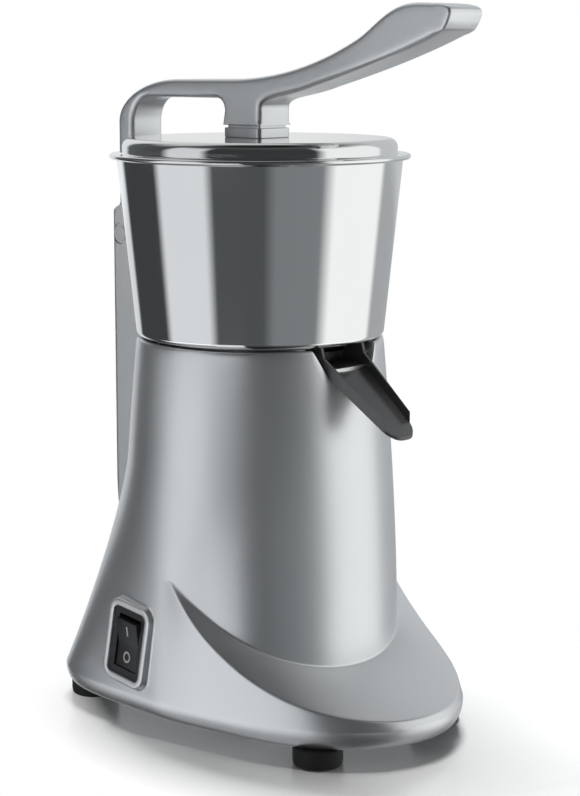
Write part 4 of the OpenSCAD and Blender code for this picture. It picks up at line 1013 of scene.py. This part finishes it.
def set_out(name, shape, places, slot):
    """Repeats a shape, made round its own origin in millimetres, on places."""
    pattern = linked(mesh_of(name + "_shape", np.asarray(shape[0], float) / 1000, shape[1]), name + "_shape")
    spots = [(x / 1000, (y + SPIN_Y) / 1000, z / 1000) for x, y, z in places]
    obj = linked(raw_mesh(name, spots), name)
    modifier = obj.modifiers.new("set_out", "NODES")
    modifier.node_group = SET_OUT
    modifier[socket_id("Shape")] = pattern
    modifier[socket_id("Finish")] = FINISHES[slot]
    plain(obj)
    thrown_away(pattern)
    return obj


def socket_screw(shank_r, length, head_r, head_h, count=96):
    """A screw that points up, its head below with a six-sided socket."""
    turns = np.linspace(0, 2 * np.pi, count, endpoint=False)
    flat = 0.46 * head_r / np.cos((turns + np.pi / 6) % (np.pi / 3) - np.pi / 6)
    top, floor = head_h + length, 0.6 * head_h
    profile = [(0, floor), (flat, floor), (flat, 0.25), (flat + 0.25, 0), (head_r - 0.8, 0),
               (head_r - 0.25, 0.25), (head_r, 0.8), (head_r, head_h), (shank_r, head_h), (shank_r, top - 0.5),
               (shank_r - 0.5, top), (0, top)]
    return turned(profile, count, False)


def make_feet():
    profile = [(FOOT_BORE_R, FOOT_H), (FOOT_BORE_R, HEAD_Z + HEAD_H),
               (HEAD_R, HEAD_Z + HEAD_H), (HEAD_R, HEAD_Z),
               (FOOT_SINK_R, HEAD_Z), (FOOT_SINK_R, 0.6), (FOOT_SINK_R + 0.6, 0), (FOOT_R - 3, 0)]
    profile += arc((FOOT_R - 2.2, 2.0), 2.0, -90, 0, 6)
    profile += [(FOOT_R - 0.1, 3.5), (FOOT_R, 4), (FOOT_R, FOOT_H - 1.6)]
    profile += arc((FOOT_R - 0.8, FOOT_H - 0.8), 0.8, 0, 90, 4)
    feet = set_out("rubber_foot_set", turned(profile, 64), FOOT_PLACES, "black_rubber")
    finished(feet, "base", "black_rubber", ["rubber_feet"])
    screw = socket_screw(FOOT_BORE_R, SCREW_LENGTH, HEAD_R, HEAD_H)
    places = [(x, y, HEAD_Z) for x, y, _ in FOOT_PLACES]
    screws = set_out("foot_screw_set", screw, places, "machined_steel")
    finished(screws, "base", "machined_steel", ["base_screws"])


# What the open lid shows: pressing cup, reamer, strainer
def make_cup():
    seat, middle, top = LID_TOP - LID_T, (0, CUP_MID_Z), CUP_MID_Z + CUP_R
    profile = [(LID_BORE_R, seat), (LID_BORE_R, top), (7.2, top)] + arc(middle, CUP_R, 80.4, 0, 40)
    profile += arc((CUP_R + CUP_T / 2, CUP_MID_Z), CUP_T / 2, -180, 0, 10)[1:-1]
    profile += arc(middle, CUP_R + CUP_T, 0, 72, 40)
    foot = np.array(profile[-1])
    profile += bend(foot, foot + (-3, 0.9), (CUP_NECK_R, top + 4), (CUP_NECK_R, top + 8), 10)
    profile += [(CUP_NECK_R, seat - 3.4)] + arc((CUP_NECK_R + 2, seat - 3), 2, 190, 120, 4)
    profile += [(CUP_SEAT_R, seat - 0.9), (CUP_SEAT_R, seat)]
    finished(built("press_dome", turned(profile)), "lever", "polished_steel", ["pressing_cup"])
    head_h = 4
    screw = socket_screw(LID_BORE_R, NECK_TOP + 14 - top, 7, head_h)
    bolt = set_out("dome_bolt", screw, [(0, 0, top - head_h)], "machined_steel")
    finished(bolt, "lever", "machined_steel", ["lid_bolt"])


def make_reamer():
    r, h, split = REAMER_R, REAMER_H, 28
    turns = np.linspace(0, 2 * np.pi, REAMER_RIBS * split, endpoint=False)
    ridge = ((1 + np.cos(REAMER_RIBS * turns)) / 2) ** 5
    low, high = (0.97 * r, 3), (r, 4)
    valley = [low] + bend(low, (0.8 * r, 0.3 * h), (0.52 * r, 0.8 * h), (0, 0.955 * h), 36)[:-1]
    crest = [high] + bend(high, (0.98 * r, 0.3 * h), (0.52 * r, 0.93 * h), (0, h - 0.4), 36)[:-1]

    def ring(low, high):
        away, up = (mix(low[k], high[k], ridge) for k in range(2))
        return np.stack([away * np.cos(turns), away * np.sin(turns), up + REAMER_Z], 1)

    foot = [(0, SOCKET_DEEP), (SOCKET_R, SOCKET_DEEP), (SOCKET_R, 0), (r - 0.9, 0), (r - 0.25, 0.25), (r, 0.9),
            (r, 2.2), (r - 0.3, 2.8)]
    tip = [(0.6, h - 0.12), (0, h)]
    rings = [ring(a, b) for a, b in (*zip(foot, foot), *zip(valley, crest), *zip(tip, tip))]
    obj = built("ribbed_reamer", loft(rings, False))
    finished(obj, "spindle", "white_plastic", ["reamer"], 60)


def make_strainer():
    z, top, t, bore_r = STRAINER_Z, STRAINER_Z + STRAINER_H, STRAINER_T, STRAINER_BORE_R
    leg_r, low_r, rim_r = LEG_R, BASKET_LOW_R, BASKET_RIM_R
    profile = [(bore_r + 0.3, z), (leg_r, z), (leg_r, BOWL_FLOOR), (leg_r + t, BOWL_FLOOR), (leg_r + t, z),
               (low_r - 1.8, z)] + arc((low_r - 1.8, z + 2), 2, -90, -6, 6)
    profile += straight((low_r + 0.2, z + 2.2), (rim_r - 0.2, top - 2.4), 12)
    profile += arc((rim_r - 0.75, top - 0.9), 0.9, -50, 190, 14)
    profile += straight((rim_r - t - 0.3, top - 2.4), (low_r - t + 0.2, z + 2.6), 12)
    profile += arc((low_r - t - 1.4, z + t + 1.4), 1.4, 0, -90, 6)
    profile += [(bore_r + 0.3, z + t), (bore_r, z + t - 0.3), (bore_r, z + 0.3)]
    obj = built("strainer_basket", turned(profile, 240))
    punch = turned([(0, -2), (PUNCH_R, -2), (PUNCH_R, 3), (0, 3)], 20, False)
    places = []
    for row in (28, 36, 44, 52):
        turns = [2 * math.pi * k / (row // 2) for k in range(row // 2)]
        places += [(row * math.cos(a), row * math.sin(a), z) for a in turns]
    cut_with(obj, set_out("punches", punch, places, "polished_steel"))
    gate = shifted(slab(rounded(5, 30, 1.5, 4), even(7.0), 0.05, 1, NO_FILL), leg_r + t / 2, 0, BOWL_FLOOR)
    for turn in (30, 150, 270):
        cut_with(obj, built("cutter", moved(gate, rotation(turn, "Z"))))
    finished(obj, "base", "polished_steel", ["strainer"])


make_body()
make_bowl()
make_lid()
make_lever()
make_neck()
make_eased()
make_rocker()
make_marks()
make_feet()
make_cup()
make_reamer()
make_strainer()

# Finishes of the nodes that stay as the CAD made them
for part in frame["record"]["subparts"]:
    obj = nodes[part["node"]]
    if not obj.hide_render:
        obj.data.materials.clear()
        obj.data.materials.append(FINISHES[part["material_slot"]])

bpy.context.scene.view_settings.view_transform = "Standard"
